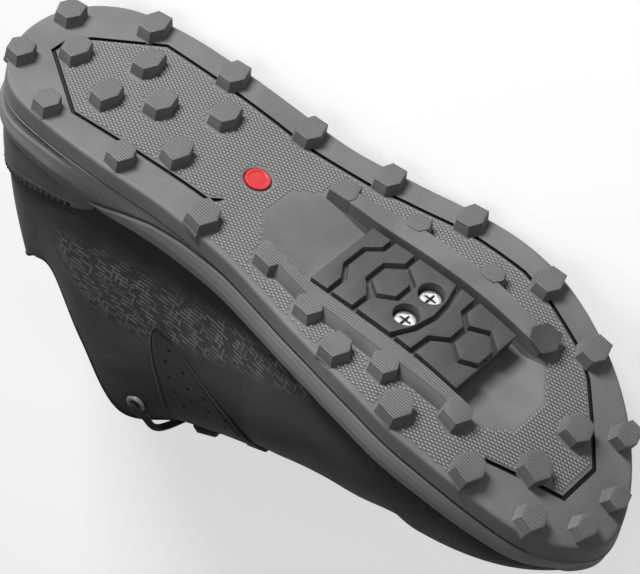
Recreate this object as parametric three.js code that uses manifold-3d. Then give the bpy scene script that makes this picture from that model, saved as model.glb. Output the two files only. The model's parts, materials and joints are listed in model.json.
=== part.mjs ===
// Right-foot cycling shoe lying on its lateral side. Millimetres, +Z up.
// Built standing (x forward from the heel, y towards the inner side, z up), then laid down.
import * as THREE from "three";
import { ConvexHull } from "three/addons/math/ConvexHull.js";
import Module from "manifold-3d";

const wasm = await Module();
wasm.setup();

// Named sizes
const LONG = 283; // outsole length
const WIDE = 101; // outsole width at the ball
const TALL = 122; // height of the collar's front corners over the heel tread base
const SPRING = 38; // lift of the tread base at the toe
const PLATE = 7; // outsole thickness at its edge
const STACK = 23; // outsole and midsole together, at the heel
const CUP = 3; // depth of the midsole's foot bed below its lip
const GAP = 0.35; // clearance between pieces
const WALL = 2; // upper's wall
const LUG = 5; // lug height
const PAD = 4; // height of the cover's top over the tread base
const POCKET = 4.6; // depth of the cleat pocket
const SCREWS_APART = 14; // between the two screws' centres
const BADGE_R = 4.8; // badge radius
const SIDES = 60; // steps around the shoe

// Outsole outline, heel to toe: share of LONG, then lateral and inner edge as shares of WIDE
const OUTLINE = [
  [0.007, -0.03, -0.03],
  [0.014, -0.145, 0.09],
  [0.04, -0.268, 0.225],
  [0.085, -0.355, 0.31],
  [0.16, -0.4, 0.335],
  [0.25, -0.416, 0.33],
  [0.34, -0.426, 0.305],
  [0.43, -0.448, 0.3],
  [0.51, -0.496, 0.335],
  [0.59, -0.536, 0.385],
  [0.67, -0.556, 0.43],
  [0.745, -0.54, 0.452],
  [0.82, -0.478, 0.43],
  [0.885, -0.39, 0.385],
  [0.94, -0.27, 0.315],
  [0.982, -0.12, 0.185],
  [1.0, 0.04, 0.04],
];
// Topline and throat edge on the same rows: share of LONG, lateral and inner share of WIDE, share of TALL
const TOPLINE = [
  [0.052, -0.03, -0.03, 0.87],
  [0.057, -0.1, 0.05, 0.865],
  [0.077, -0.18, 0.14, 0.8],
  [0.11, -0.25, 0.2, 0.71],
  [0.163, -0.3, 0.265, 0.645],
  [0.233, -0.335, 0.3, 0.8],
  [0.312, -0.32, 0.295, 0.99],
  [0.4, -0.245, 0.232, 0.905],
  [0.482, -0.205, 0.195, 0.835],
  [0.558, -0.175, 0.17, 0.785],
  [0.626, -0.145, 0.145, 0.745],
  [0.675, -0.115, 0.122, 0.725],
  [0.701, -0.08, 0.09, 0.713],
  [0.711, -0.05, 0.064, 0.708],
  [0.716, -0.028, 0.044, 0.705],
  [0.718, -0.008, 0.026, 0.704],
  [0.719, 0.008, 0.008, 0.704],
];
// How the side swells between them, mm: rise and swell at the foot, reach and drop at the topline
const SWELL = [
  [22, 1.4, 6, 24],
  [22, 1.4, 6, 24],
  [22, 1.6, 5.5, 22],
  [20, 2, 5.5, 19],
  [18, 2, 5, 17],
  [24, 2.4, 5, 24],
  [30, 3, 6, 30],
  [32, 3, 13, 19],
  [30, 3, 15, 13],
  [27, 3, 17, 10],
  [22, 2.4, 18, 9],
  [17, 2, 20, 9],
  [12, 2, 22, 10],
  [10, 2, 25, 11],
  [9, 2, 28, 12],
  [8, 2, 30, 12.5],
  [8, 2, 31, 13],
];
// Tread base, share of LONG and lift as a share of SPRING
const ROCKER = [
  [-0.1, 0],
  [0.0, 0],
  [0.2, 0],
  [0.32, 0.05],
  [0.42, 0.14],
  [0.53, 0.183],
  [0.62, 0.16],
  [0.7, 0.175],
  [0.78, 0.28],
  [0.85, 0.44],
  [0.92, 0.665],
  [0.97, 0.86],
  [1.0, 1.0],
  [1.1, 1.45],
];
// Sole stack over the tread base, share of LONG and share of STACK
const STACKS = [
  [0, 1.0],
  [0.2, 0.97],
  [0.4, 0.84],
  [0.55, 0.8],
  [0.75, 0.8],
  [0.9, 0.7],
  [1.0, 0.52],
  [1.05, 0.48],
];
// Midsole flare beyond the outsole, share of LONG and mm
const FLARES = [
  [0, 0],
  [0.03, 0.2],
  [0.09, 0.6],
  [0.2, 0.8],
  [0.4, 0.6],
  [0.75, 0.5],
  [0.92, 0],
  [1.0, -1.6],
  [1.05, -1.6],
];
// Lugs: tip centre as shares of LONG and WIDE, then half length and half width, mm
const LUGS = [
  [0.032, -0.129, 5, 5.5],
  [0.039, 0.149, 5, 5.2],
  [0.127, 0.272, 4.8, 4.8],
  [0.085, 0, 5, 6],
  [0.122, -0.307, 5, 6.2],
  [0.163, -0.149, 4.8, 6.3],
  [0.166, 0.082, 4.9, 6.2],
  [0.223, -0.03, 5, 6],
  [0.251, 0.262, 5, 5.2],
  [0.251, -0.337, 5, 6],
  [0.29, -0.168, 5, 6],
  [0.293, 0.099, 5, 6],
  [0.378, -0.356, 5, 6],
  [0.383, 0.238, 5.7, 6],
  [0.495, -0.411, 5, 6],
  [0.611, -0.47, 5, 6],
  [0.742, -0.455, 5, 6],
  [0.629, 0.347, 5.5, 5.5],
  [0.841, -0.379, 5, 6],
  [0.735, 0.381, 6, 6],
  [0.894, -0.099, 5.6, 5.4],
  [0.936, -0.248, 4.5, 5.4],
  [0.845, 0.351, 5.4, 6],
  [0.894, 0.139, 5.8, 5.6],
  [0.931, 0.283, 4.8, 5.2],
  [0.979, -0.05, 4, 4.6],
  [0.977, 0.129, 4, 4.8],
  [0.473, -0.228, 5.4, 6],
  [0.481, 0.188, 6, 6],
  [0.792, -0.248, 5.8, 6.4],
  [0.788, 0.226, 5.4, 5.6],
  [0.565, 0.272, 5.4, 4.6],
  [0.687, 0.282, 5.2, 4.8],
  [0.572, -0.307, 4.6, 4.2],
  [0.689, -0.312, 4.6, 4.2],
];
// A lug's tip, shares of its half length and half width
const LUG_TIP = [
  [-1, -0.12],
  [-0.5, -1],
  [0.55, -0.95],
  [1, -0.1],
  [0.58, 1],
  [-0.6, 0.86],
];
// Frame groove, lateral and toe run, then the heel's inner run, shares of LONG and WIDE
const GROOVE_OUT = [
  [0.155, 0.218],
  [0.06, 0.04],
  [0.06, -0.04],
  [0.078, -0.109],
  [0.152, -0.287],
  [0.23, -0.297],
  [0.382, -0.312],
  [0.481, -0.356],
  [0.53, -0.391],
  [0.618, -0.436],
  [0.707, -0.441],
  [0.756, -0.416],
  [0.823, -0.356],
  [0.855, -0.297],
  [0.89, -0.198],
  [0.933, -0.069],
  [0.933, 0.109],
  [0.848, 0.252],
];
const GROOVE_IN = [
  [0.153, 0.219],
  [0.223, 0.198],
  [0.254, 0.188],
  [0.364, 0.153],
];
// Rails beside the cleat pocket: path as shares of LONG and WIDE, half widths and drop, mm
const RAILS = [
  { path: [[0.473, -0.218], [0.565, -0.257], [0.671, -0.262], [0.792, -0.238]], low: 5.4, high: 3.6, drop: 0.4 },
  { path: [[0.484, 0.183], [0.565, 0.224], [0.671, 0.232], [0.784, 0.208]], low: 4.2, high: 2.4, drop: 0 },
];
// Cleat pocket: mouth and floor, shares of LONG and WIDE
const POCKET_OPEN = [
  [0.424, -0.035],
  [0.424, -0.109],
  [0.456, -0.198],
  [0.537, -0.201],
  [0.622, -0.204],
  [0.707, -0.203],
  [0.809, -0.198],
  [0.84, -0.079],
  [0.841, 0],
  [0.84, 0.079],
  [0.813, 0.182],
  [0.707, 0.19],
  [0.622, 0.192],
  [0.537, 0.188],
  [0.456, 0.149],
  [0.424, 0.04],
];
const POCKET_FLOOR = [
  [0.516, -0.035],
  [0.516, -0.109],
  [0.519, -0.197],
  [0.551, -0.199],
  [0.622, -0.202],
  [0.707, -0.201],
  [0.781, -0.196],
  [0.784, -0.079],
  [0.784, 0],
  [0.784, 0.079],
  [0.781, 0.18],
  [0.707, 0.188],
  [0.622, 0.19],
  [0.551, 0.186],
  [0.519, 0.174],
  [0.516, 0.04],
];
// Cover over the cleat pocket: start, length, lateral edge and width, shares of LONG and WIDE
const COVER = [0.537, 0.226, -0.172, 0.338];
// Hexagons in the cover, shares of LONG and WIDE
const HEXES = [
  [0.611, -0.014],
  [0.74, -0.011],
];
// Screws in the cover, side by side, and the badge
const SCREWS_AT = [0.657, -0.008];
const SCREWS = [0.5, -0.5].map((s) => [SCREWS_AT[0] * LONG, SCREWS_AT[1] * WIDE + s * SCREWS_APART]);
const BADGE = [0.382 * LONG, -0.057 * WIDE];

function hermite(rows, x, col = 1) {
  let i = 1;
  while (i < rows.length - 1 && x > rows[i][0]) i += 1;
  const a = rows[i - 1];
  const b = rows[i];
  const pa = rows[Math.max(0, i - 2)];
  const pb = rows[Math.min(rows.length - 1, i + 1)];
  const h = b[0] - a[0];
  const f = (x - a[0]) / h;
  const slopeA = ((b[col] - pa[col]) / (b[0] - pa[0])) * h;
  const slopeB = ((pb[col] - a[col]) / (pb[0] - a[0])) * h;
  const f2 = f * f;
  const f3 = f2 * f;
  return (
    (2 * f3 - 3 * f2 + 1) * a[col] +
    (f3 - 2 * f2 + f) * slopeA +
    (3 * f2 - 2 * f3) * b[col] +
    (f3 - f2) * slopeB
  );
}
const plan = (rows) => rows.map(([x, y]) => [x * LONG, y * WIDE]);
const rock = (x) => SPRING * hermite(ROCKER, x / LONG);
const stack = (x) => STACK * hermite(STACKS, x / LONG);
const flare = (x) => hermite(FLARES, Math.max(0, x / LONG));
const slope = (x) => Math.atan2(rock(x + 0.5) - rock(x - 0.5), 1);

// Value of a table around the shoe: u 0 heel, 0.5 toe by the lateral side, 1 heel by the inner side
function around(rows, cols, u) {
  const last = rows.length - 1;
  const whole = 2 * last;
  const s = (((u % 1) + 1) % 1) * whole;
  const k = Math.floor(s);
  const f = s - k;
  const at = (q) => {
    const m = ((q % whole) + whole) % whole;
    const inner = m > last;
    const row = rows[inner ? whole - m : m];
    return cols.map((c) => row[Array.isArray(c) ? c[inner ? 1 : 0] : c]);
  };
  const [a, b, c, d] = [at(k - 1), at(k), at(k + 1), at(k + 2)];
  return b.map((_, i) => {
    const m1 = (c[i] - a[i]) / 2;
    const m2 = (d[i] - b[i]) / 2;
    const f2 = f * f;
    const f3 = f2 * f;
    return (
      (2 * f3 - 3 * f2 + 1) * b[i] +
      (f3 - 2 * f2 + f) * m1 +
      (3 * f2 - 2 * f3) * c[i] +
      (f3 - f2) * m2
    );
  });
}
function edge(u) {
  const [x, y] = around(OUTLINE, [0, [1, 2]], u);
  return [x * LONG, y * WIDE];
}
function outward(u) {
  const a = edge(u - 0.004);
  const b = edge(u + 0.004);
  const tx = b[0] - a[0];
  const ty = b[1] - a[1];
  const n = Math.hypot(tx, ty);
  return [ty / n, -tx / n];
}
// Plan point at a distance outside the outline (negative is inside)
function rim(u, out) {
  const [x, y] = edge(u);
  const [nx, ny] = outward(u);
  return [x + nx * out, y + ny * out];
}
const ring = (fn) => Array.from({ length: SIDES }, (_, i) => fn(i / SIDES));

// Outer face of the upper: v 0 just over the midsole's lip, 1 at the topline
function side(u, v) {
  const [ex] = edge(u);
  const [fx, fy] = rim(u, flare(ex) - CUP - GAP - 0.35);
  const fz = rock(ex) + stack(ex) + 0.4;
  const [tx, ty, tz] = around(TOPLINE, [0, [1, 2], 3], u);
  const [rise, swell, reach, drop] = around(SWELL, [0, 1, 2, 3], u);
  const [nx, ny] = outward(u);
  const p0 = [fx, fy, fz];
  const p3 = [tx * LONG, ty * WIDE, tz * TALL];
  const p1 = [fx + nx * swell, fy + ny * swell, fz + rise];
  const p2 = [p3[0] + nx * reach, p3[1] + ny * reach, p3[2] - drop];
  const w = 1 - v;
  const b = [w * w * w, 3 * w * w * v, 3 * w * v * v, v * v * v];
  return new THREE.Vector3(
    ...[0, 1, 2].map((i) => b[0] * p0[i] + b[1] * p1[i] + b[2] * p2[i] + b[3] * p3[i]),
  );
}
function sideNormal(u, v) {
  const e = 0.003;
  const lo = Math.max(0, v - 0.02);
  const hi = Math.min(1, v + 0.02);
  const du = side(u + e, v).sub(side(u - e, v));
  const dv = side(u, hi).sub(side(u, lo));
  return du.cross(dv).normalize();
}
const lifted = (u, v, lift) => side(u, v).addScaledVector(sideNormal(u, v), lift);

// A collector of faces that becomes one closed mesh
class Skin {
  constructor() {
    this.tris = [];
  }
  tri(a, b, c) {
    this.tris.push([a, b, c]);
  }
  quad(a, b, c, d) {
    this.tri(a, b, c);
    this.tri(a, c, d);
  }
  strip(r, s) {
    const n = r.length;
    for (let i = 0; i < n; i += 1) {
      const j = (i + 1) % n;
      this.quad(r[i], r[j], s[j], s[i]);
    }
  }
  // Face across a ring around the shoe, in rows from side to side
  lid(r, across, height, flip) {
    const n = r.length;
    const half = n / 2;
    const rows = [];
    for (let i = 0; i <= half; i += 1) {
      const a = r[i];
      const b = r[(n - i) % n];
      const row = [a];
      for (let k = 1; k < across; k += 1) {
        const f = k / across;
        const p = a.clone().lerp(b, f);
        if (height) p.z = height(p.x, p.y, f, p.z);
        row.push(i === 0 || i === half ? a : p);
      }
      row.push(b);
      rows.push(row);
    }
    for (let i = 0; i < half; i += 1) {
      for (let k = 0; k < across; k += 1) {
        const q = [rows[i][k], rows[i + 1][k], rows[i + 1][k + 1], rows[i][k + 1]];
        if (flip) q.reverse();
        this.quad(...q);
      }
    }
  }
  body() {
    const key = new Map();
    const pos = [];
    const idx = [];
    const index = (p) => {
      const k = [p.x, p.y, p.z].map((q) => Math.round(q * 1e4)).join();
      if (!key.has(k)) {
        key.set(k, pos.length / 3);
        pos.push(p.x, p.y, p.z);
      }
      return key.get(k);
    };
    for (const t of this.tris) {
      const [a, b, c] = t.map(index);
      if (a !== b && b !== c && a !== c) idx.push(a, b, c);
    }
    return solid(pos, idx);
  }
}
function solid(pos, idx) {
  let six = 0;
  for (let i = 0; i < idx.length; i += 3) {
    const [a, b, c] = [0, 1, 2].map((k) => new THREE.Vector3().fromArray(pos, idx[i + k] * 3));
    six += a.dot(b.clone().cross(c));
  }
  const order = [];
  for (let i = 0; i < idx.length; i += 3) {
    if (six > 0) order.push(idx[i], idx[i + 1], idx[i + 2]);
    else order.push(idx[i], idx[i + 2], idx[i + 1]);
  }
  return new wasm.Manifold(
    new wasm.Mesh({
      numProp: 3,
      vertProperties: new Float32Array(pos),
      triVerts: new Uint32Array(order),
    }),
  );
}
// Solid between two grids of points
function slab(outer, inner) {
  const s = new Skin();
  const m = outer.length;
  const n = outer[0].length;
  for (let i = 0; i < m - 1; i += 1) {
    for (let j = 0; j < n - 1; j += 1) {
      s.quad(outer[i][j], outer[i + 1][j], outer[i + 1][j + 1], outer[i][j + 1]);
      s.quad(inner[i][j], inner[i][j + 1], inner[i + 1][j + 1], inner[i + 1][j]);
    }
  }
  for (let i = 0; i < m - 1; i += 1) {
    s.quad(outer[i][0], inner[i][0], inner[i + 1][0], outer[i + 1][0]);
    s.quad(outer[i][n - 1], outer[i + 1][n - 1], inner[i + 1][n - 1], inner[i][n - 1]);
  }
  for (let j = 0; j < n - 1; j += 1) {
    s.quad(outer[0][j], outer[0][j + 1], inner[0][j + 1], inner[0][j]);
    s.quad(outer[m - 1][j], inner[m - 1][j], inner[m - 1][j + 1], outer[m - 1][j + 1]);
  }
  return s.body();
}
// Solid through a run of closed sections: small ends are closed by a fan, large ones in rows
function loft(sections) {
  const s = new Skin();
  for (let i = 0; i < sections.length - 1; i += 1) s.strip(sections[i], sections[i + 1]);
  const cap = (r, flip) => {
    if (r.length > 12) {
      s.lid(r, 1, null, flip);
      return;
    }
    for (let i = 1; i < r.length - 1; i += 1) {
      if (flip) s.tri(r[0], r[i + 1], r[i]);
      else s.tri(r[0], r[i], r[i + 1]);
    }
  };
  cap(sections[0], true);
  cap(sections[sections.length - 1], false);
  return s.body();
}
const V = (x, y, z) => new THREE.Vector3(x, y, z);
// Point at a height outside the tread base, square to it
function below(x, y, h) {
  const a = slope(x);
  return V(x + Math.sin(a) * h, y, rock(x) - Math.cos(a) * h);
}

// Sole
function hexLug([shareX, shareY, hx, hy]) {
  const [[x, y]] = plan([[shareX, shareY]]);
  const flip = shareY < 0;
  const a = slope(x);
  const bx = x - LUG * Math.sin(a);
  const ringAt = (h, grow) =>
    LUG_TIP.map(([p, q]) => {
      const lx = p * (hx + grow);
      const ly = q * (hy + grow) * (flip ? -1 : 1);
      return V(
        bx + Math.cos(a) * lx + Math.sin(a) * h,
        y + ly,
        rock(bx) + Math.sin(a) * lx - Math.cos(a) * h,
      );
    });
  return loft([ringAt(-1.6, 0.9), ringAt(LUG, 0)]);
}
// Channel or rail along a plan path: offsets are from the tread base, outward positive
function sweep(path, halfLow, halfHigh, low, high) {
  const pts = [];
  for (let i = 0; i < path.length - 1; i += 1) {
    const [a, b] = [path[i], path[i + 1]];
    const steps = Math.max(1, Math.round(Math.hypot(b[0] - a[0], b[1] - a[1]) / 20));
    for (let k = 0; k < steps; k += 1) {
      pts.push([a[0] + ((b[0] - a[0]) * k) / steps, a[1] + ((b[1] - a[1]) * k) / steps]);
    }
  }
  pts.push(path[path.length - 1]);
  const unit = (p, q) => {
    const d = [q[0] - p[0], q[1] - p[1]];
    const n = Math.hypot(...d);
    return [d[0] / n, d[1] / n];
  };
  const sections = pts.map((p, i) => {
    const before = i > 0 ? unit(pts[i - 1], p) : unit(p, pts[i + 1]);
    const after = i < pts.length - 1 ? unit(p, pts[i + 1]) : before;
    const m = [before[0] + after[0], before[1] + after[1]];
    const n = Math.hypot(...m);
    const nx = -m[1] / n;
    const ny = m[0] / n;
    const stretch = 1 / Math.max(0.5, nx * -before[1] + ny * before[0]);
    const at = (w, h) => below(p[0] + nx * w * stretch, p[1] + ny * w * stretch, h);
    return [at(-halfLow, low), at(halfLow, low), at(halfHigh, high), at(-halfHigh, high)];
  });
  return loft(sections);
}
const joined = (list) => list.reduce((a, b) => a.add(b));

function outsole() {
  const s = new Skin();
  const r0 = ring((u) => {
    const [x, y] = rim(u, -1.6);
    return V(x, y, rock(x));
  });
  const r1 = ring((u) => {
    const [x, y] = rim(u, -0.2);
    return V(x, y, rock(x) + 1.2);
  });
  const r2 = ring((u) => {
    const [x, y] = rim(u, 0.2);
    return V(x, y, rock(edge(u)[0]) + PLATE);
  });
  s.lid(r0, 1, null, true);
  s.strip(r0, r1);
  s.strip(r1, r2);
  s.lid(r2, 1, null, false);
  let body = s
    .body()
    .subtract(sweep(plan(GROOVE_OUT), 0.8, 0.8, 0.6, -1.2))
    .subtract(sweep(plan(GROOVE_IN), 0.8, 0.8, 0.6, -1.2));
  const rails = RAILS.map(({ path, low, high, drop }) => sweep(plan(path), low, high, -1, LUG - drop));
  body = joined([body, ...rails, ...LUGS.map((row) => hexLug(row))]);
  const cut = loft([
    plan(POCKET_OPEN).map(([x, y]) => below(x, y, LUG + 3)),
    plan(POCKET_OPEN).map(([x, y]) => below(x, y, 0)),
    plan(POCKET_FLOOR).map(([x, y]) => below(x, y, -POCKET)),
  ]);
  body = body.subtract(cut);
  return body.subtract(disc(BADGE, BADGE_R + 0.4, 1.0, -1.1, 16));
}
// Upright round between two heights over the tread base
function disc([x, y], r, top, bottom, sides = 20) {
  const c = below(x, y, 0);
  const a = slope(x);
  const at = (h, rad) =>
    Array.from({ length: sides }, (_, i) => {
      const w = (2 * Math.PI * i) / sides;
      const lx = rad * Math.cos(w);
      return V(
        c.x + Math.cos(a) * lx + Math.sin(a) * h,
        c.y + rad * Math.sin(w),
        c.z + Math.sin(a) * lx - Math.cos(a) * h,
      );
    });
  return loft([at(bottom, r), at(top, r)]);
}

function midsole() {
  const s = new Skin();
  const band = (out, share, add = 0) =>
    ring((u) => {
      const [x0] = edge(u);
      const [x, y] = rim(u, flare(x0) * Math.min(1, share * 1.4) + out);
      return V(x, y, rock(x0) + PLATE + GAP + (stack(x0) - PLATE - GAP) * share + add);
    });
  const low = band(-0.5, 0);
  const rows = [low, band(0.2, 0.1), band(0.7, 0.35), band(0.6, 0.7), band(0, 1)];
  s.lid(low, 1, null, true);
  for (let i = 0; i < rows.length - 1; i += 1) s.strip(rows[i], rows[i + 1]);
  const lipIn = ring((u) => {
    const [x0] = edge(u);
    const [x, y] = rim(u, flare(x0) - CUP);
    return V(x, y, rock(x0) + stack(x0));
  });
  const bed = ring((u) => {
    const [x0] = edge(u);
    const [x, y] = rim(u, flare(x0) - CUP);
    return V(x, y, rock(x0) + stack(x0) - CUP);
  });
  s.strip(rows[rows.length - 1], lipIn);
  s.strip(lipIn, bed);
  s.lid(bed, 1, null, false);
  return s.body();
}
function insole() {
  const s = new Skin();
  const lay = (inset, h) =>
    ring((u) => {
      const [x0] = edge(u);
      const [x, y] = rim(u, flare(x0) - CUP - GAP - 0.35 - WALL - inset);
      return V(x, y, rock(x0) + stack(x0) - CUP + h);
    });
  const low = lay(1, 0.6);
  const high = lay(0.7, 3.4);
  const cup = (x, y, f, z) => z - (x < 0.3 * LONG ? 1.2 : 0.5);
  s.lid(low, 1, null, true);
  s.strip(low, high);
  s.lid(high, 2, cup, false);
  return s.body();
}

// Upper
const LEVELS = [0, 0.15, 0.33, 0.52, 0.71, 0.87, 1];
function upper() {
  const s = new Skin();
  const foot = (inset, lift) =>
    ring((u) => {
      const [x0] = edge(u);
      const [x, y] = rim(u, flare(x0) - CUP - GAP - 0.35 - inset);
      return V(x, y, rock(x0) + stack(x0) - CUP + lift);
    });
  const rings = [foot(0, GAP), ...LEVELS.map((v) => ring((u) => side(u, v)))];
  const inner = [
    foot(WALL, GAP),
    foot(WALL, CUP + 0.4),
    ...LEVELS.slice(1).map((v) => ring((u) => lifted(u, v, -WALL))),
  ];
  for (let i = 0; i < rings.length - 1; i += 1) s.strip(rings[i], rings[i + 1]);
  s.strip(rings[rings.length - 1], inner[inner.length - 1]);
  for (let i = inner.length - 1; i > 0; i -= 1) s.strip(inner[i], inner[i - 1]);
  s.strip(inner[0], rings[0]);
  return s.body();
}
const rowU = (row) => row / (2 * (OUTLINE.length - 1));
// Piece laid on the upper: lanes run across u, steps up v
function overlay(lanes, steps, place, liftIn, liftOut) {
  const grid = (lift) =>
    Array.from({ length: lanes + 1 }, (_, i) =>
      Array.from({ length: steps + 1 }, (_, j) => {
        const [u, v] = place(i / lanes, j / steps);
        return lifted(u, v, lift(i / lanes, j / steps));
      }),
    );
  return slab(grid(liftOut), grid(liftIn));
}
function heelCounter() {
  const span = 9 / SIDES;
  const top = (f) => 0.34 - 0.06 * f ** 2 - 0.22 * f ** 6;
  return overlay(
    18,
    4,
    (a, b) => {
      const f = 2 * a - 1;
      return [f * span, top(f) * b];
    },
    () => GAP + 0.05,
    (a, b) => 2.9 - 1.4 * b - 0.9 * Math.pow(Math.abs(2 * a - 1), 3),
  );
}
function toeCap() {
  const start = 20 / SIDES;
  const back = (v) => LONG * (0.717 + 0.113 * Math.min(0.6, v));
  const limit = (u) => {
    let lo = 0;
    let hi = 0.97;
    for (let i = 0; i < 24; i += 1) {
      const mid = (lo + hi) / 2;
      if (side(u, mid).x > back(mid)) lo = mid;
      else hi = mid;
    }
    return Math.max(0.05, lo);
  };
  return overlay(
    20,
    5,
    (a, b) => {
      const u = start + (1 - 2 * start) * a;
      return [u, limit(u) * b];
    },
    () => GAP + 0.5,
    (a, b) => 2.1 - 0.5 * b,
  );
}
// Perforated panel on each side: v, then the rows of its rear and front edges
const PANEL = [
  [0.36, 6.32, 6.42],
  [0.4, 6.24, 6.72],
  [0.47, 6.26, 7.2],
  [0.56, 6.4, 7.75],
  [0.66, 6.58, 8.2],
  [0.78, 6.72, 8.45],
  [0.92, 6.82, 8.55],
];
function sidePanel(inner) {
  const steps = PANEL.length - 1;
  return overlay(
    5,
    steps,
    (a, b) => {
      const [v, rear, front] = PANEL[Math.round(b * steps)];
      const u = rowU(rear + (front - rear) * a);
      return [inner ? 1 - u : u, v];
    },
    () => GAP + 0.3,
    () => 1.3,
  );
}
function heelTab() {
  return overlay(
    4,
    3,
    (a, b) => [(2 * a - 1) * 0.012, 0.86 + 0.14 * b],
    () => GAP,
    () => 2.2,
  );
}
function collar() {
  const span = 11 / SIDES;
  const fat = (b) => Math.sin(Math.PI * (0.12 + 0.83 * b));
  return overlay(
    22,
    3,
    (a, b) => [(2 * a - 1) * span, 0.6 + 0.38 * b],
    (a, b) => -(WALL + GAP + 0.6 + 3.2 * fat(b)),
    () => -(WALL + GAP + 0.1),
  );
}

// Tongue: centre of its top face as shares of LONG and TALL, half width as a share of WIDE,
// fall to its edges, mm
const TONGUE = [
  [0.749, 0.655, 0.083, 2.6],
  [0.717, 0.673, 0.103, 3.2],
  [0.678, 0.693, 0.129, 4],
  [0.625, 0.718, 0.153, 4.6],
  [0.558, 0.754, 0.178, 5.4],
  [0.481, 0.807, 0.203, 6.4],
  [0.396, 0.893, 0.223, 9],
  [0.346, 0.967, 0.228, 10],
  [0.322, 1.025, 0.218, 11],
];
function tongue() {
  const across = 6;
  const grid = (thick) =>
    TONGUE.map(([sx, sz, sy, fall], i) => {
      const [a, b] = [TONGUE[Math.max(0, i - 1)], TONGUE[Math.min(TONGUE.length - 1, i + 1)]];
      const [x, half, z] = [sx * LONG, sy * WIDE, sz * TALL];
      const dx = (b[0] - a[0]) * LONG;
      const dz = (b[1] - a[1]) * TALL;
      const n = Math.hypot(dx, dz);
      const t = i === 0 ? thick * 0.6 : thick;
      return Array.from({ length: across + 1 }, (_, k) => {
        const f = (2 * k) / across - 1;
        const drop = fall * f * f + t;
        return V(x - (dz / n) * drop, half * f + 0.5, z + (dx / n) * drop);
      });
    });
  return slab(grid(0), grid(3.6));
}

// Lacing
// Loop rows: row on the topline table where each webbing loop sits
const LOOP_ROWS = [7.35, 8.3, 9.35, 10.35];
const LOOP_WIDE = 8;
function loopFrame(row, inner) {
  const at = (r, v) => side(inner ? 1 - rowU(r) : rowU(r), v);
  const p = at(row, 1);
  const along = at(row + 0.12, 1).sub(at(row - 0.12, 1)).normalize();
  const into = p.clone().sub(at(row, 0.93));
  into.addScaledVector(along, -into.dot(along)).normalize();
  const over = into.clone().cross(along).normalize();
  if (over.z < 0) over.negate();
  return { p, along, into, over };
}
const laceAt = (f) => f.p.clone().addScaledVector(f.into, 4.6).addScaledVector(f.over, -0.5);
function loop(f) {
  const c = laceAt(f);
  const ringPts = (r, from, to, n) =>
    Array.from({ length: n + 1 }, (_, i) => {
      const w = from + ((to - from) * i) / n;
      return [r * Math.cos(w), r * Math.sin(w)];
    });
  // Section in the plane of into and over: a tail under the upper and a fold round the lace
  const outer = [...ringPts(2.9, -Math.PI / 2, Math.PI * 0.9, 8)];
  const inside = [...ringPts(1.9, Math.PI * 0.9, -Math.PI / 2, 8)];
  const section = [[-7.4, -3.1], ...outer, ...inside, [-7.4, -2.1]];
  const at = (s) =>
    section.map(([a, b]) =>
      c.clone().addScaledVector(f.into, a).addScaledVector(f.over, b).addScaledVector(f.along, s),
    );
  const n = section.length;
  const s = new Skin();
  const r0 = at(-LOOP_WIDE / 2);
  const r1 = at(LOOP_WIDE / 2);
  s.strip(r0, r1);
  // The section is a band: outer point k pairs with inner point from the far end
  for (let k = 0; k < n / 2 - 1; k += 1) {
    s.quad(r0[k], r0[n - 1 - k], r0[n - 2 - k], r0[k + 1]);
    s.quad(r1[k], r1[k + 1], r1[n - 2 - k], r1[n - 1 - k]);
  }
  return s.body();
}
function cord(points, half, thick) {
  const sections = points.map((p, i) => {
    const before = points[Math.max(0, i - 1)];
    const after = points[Math.min(points.length - 1, i + 1)];
    const t = after.clone().sub(p).normalize().add(p.clone().sub(before).normalize()).normalize();
    const flat = t.clone().cross(V(0, 0, 1)).normalize();
    const up = flat.clone().cross(t).normalize();
    return Array.from({ length: 6 }, (_, k) => {
      const w = (2 * Math.PI * (k + 0.5)) / 6;
      return p
        .clone()
        .addScaledVector(flat, Math.cos(w) * half)
        .addScaledVector(up, Math.sin(w) * thick);
    });
  });
  return loft(sections);
}
// A bowed run between two points
function bow(a, b, lift, shares) {
  return shares.map((f) => {
    const p = a.clone().lerp(b, f);
    p.z += lift * Math.sin(Math.PI * f);
    return p;
  });
}
const LACE_END = LOOP_WIDE / 2 + 0.8;
function lacePath(frames, first) {
  // Through the loops on alternating sides, from the front bar upwards
  const pts = [];
  frames.forEach((pair, i) => {
    const f = pair[(i + first) % 2];
    const c = laceAt(f);
    const leave = c.clone().addScaledVector(f.along, -LACE_END);
    pts.push(c.clone().addScaledVector(f.along, LACE_END), leave);
    const next = frames[i + 1];
    if (!next) return;
    const g = next[(i + 1 + first) % 2];
    const arrive = laceAt(g).addScaledVector(g.along, LACE_END);
    pts.push(...bow(leave, arrive, 2.2 + 1.4 * first, [0.25, 0.75]));
  });
  return pts;
}
function screw([x, y]) {
  const head = disc([x, y], 4.1, 1.2, -1.4, 14);
  const shank = disc([x, y], 2.4, -1, -4, 10);
  const slot = (lx, ly) => {
    const a = slope(x);
    const c = below(x, y, 0);
    const at = (h) =>
      [[-1, -1], [1, -1], [1, 1], [-1, 1]].map(([p, q]) =>
        V(
          c.x + Math.cos(a) * p * lx + Math.sin(a) * h,
          c.y + q * ly,
          c.z + Math.sin(a) * p * lx - Math.cos(a) * h,
        ),
      );
    return loft([at(0.1), at(2)]);
  };
  return head.add(shank).subtract(slot(2.5, 0.6)).subtract(slot(0.6, 2.5));
}
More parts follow.
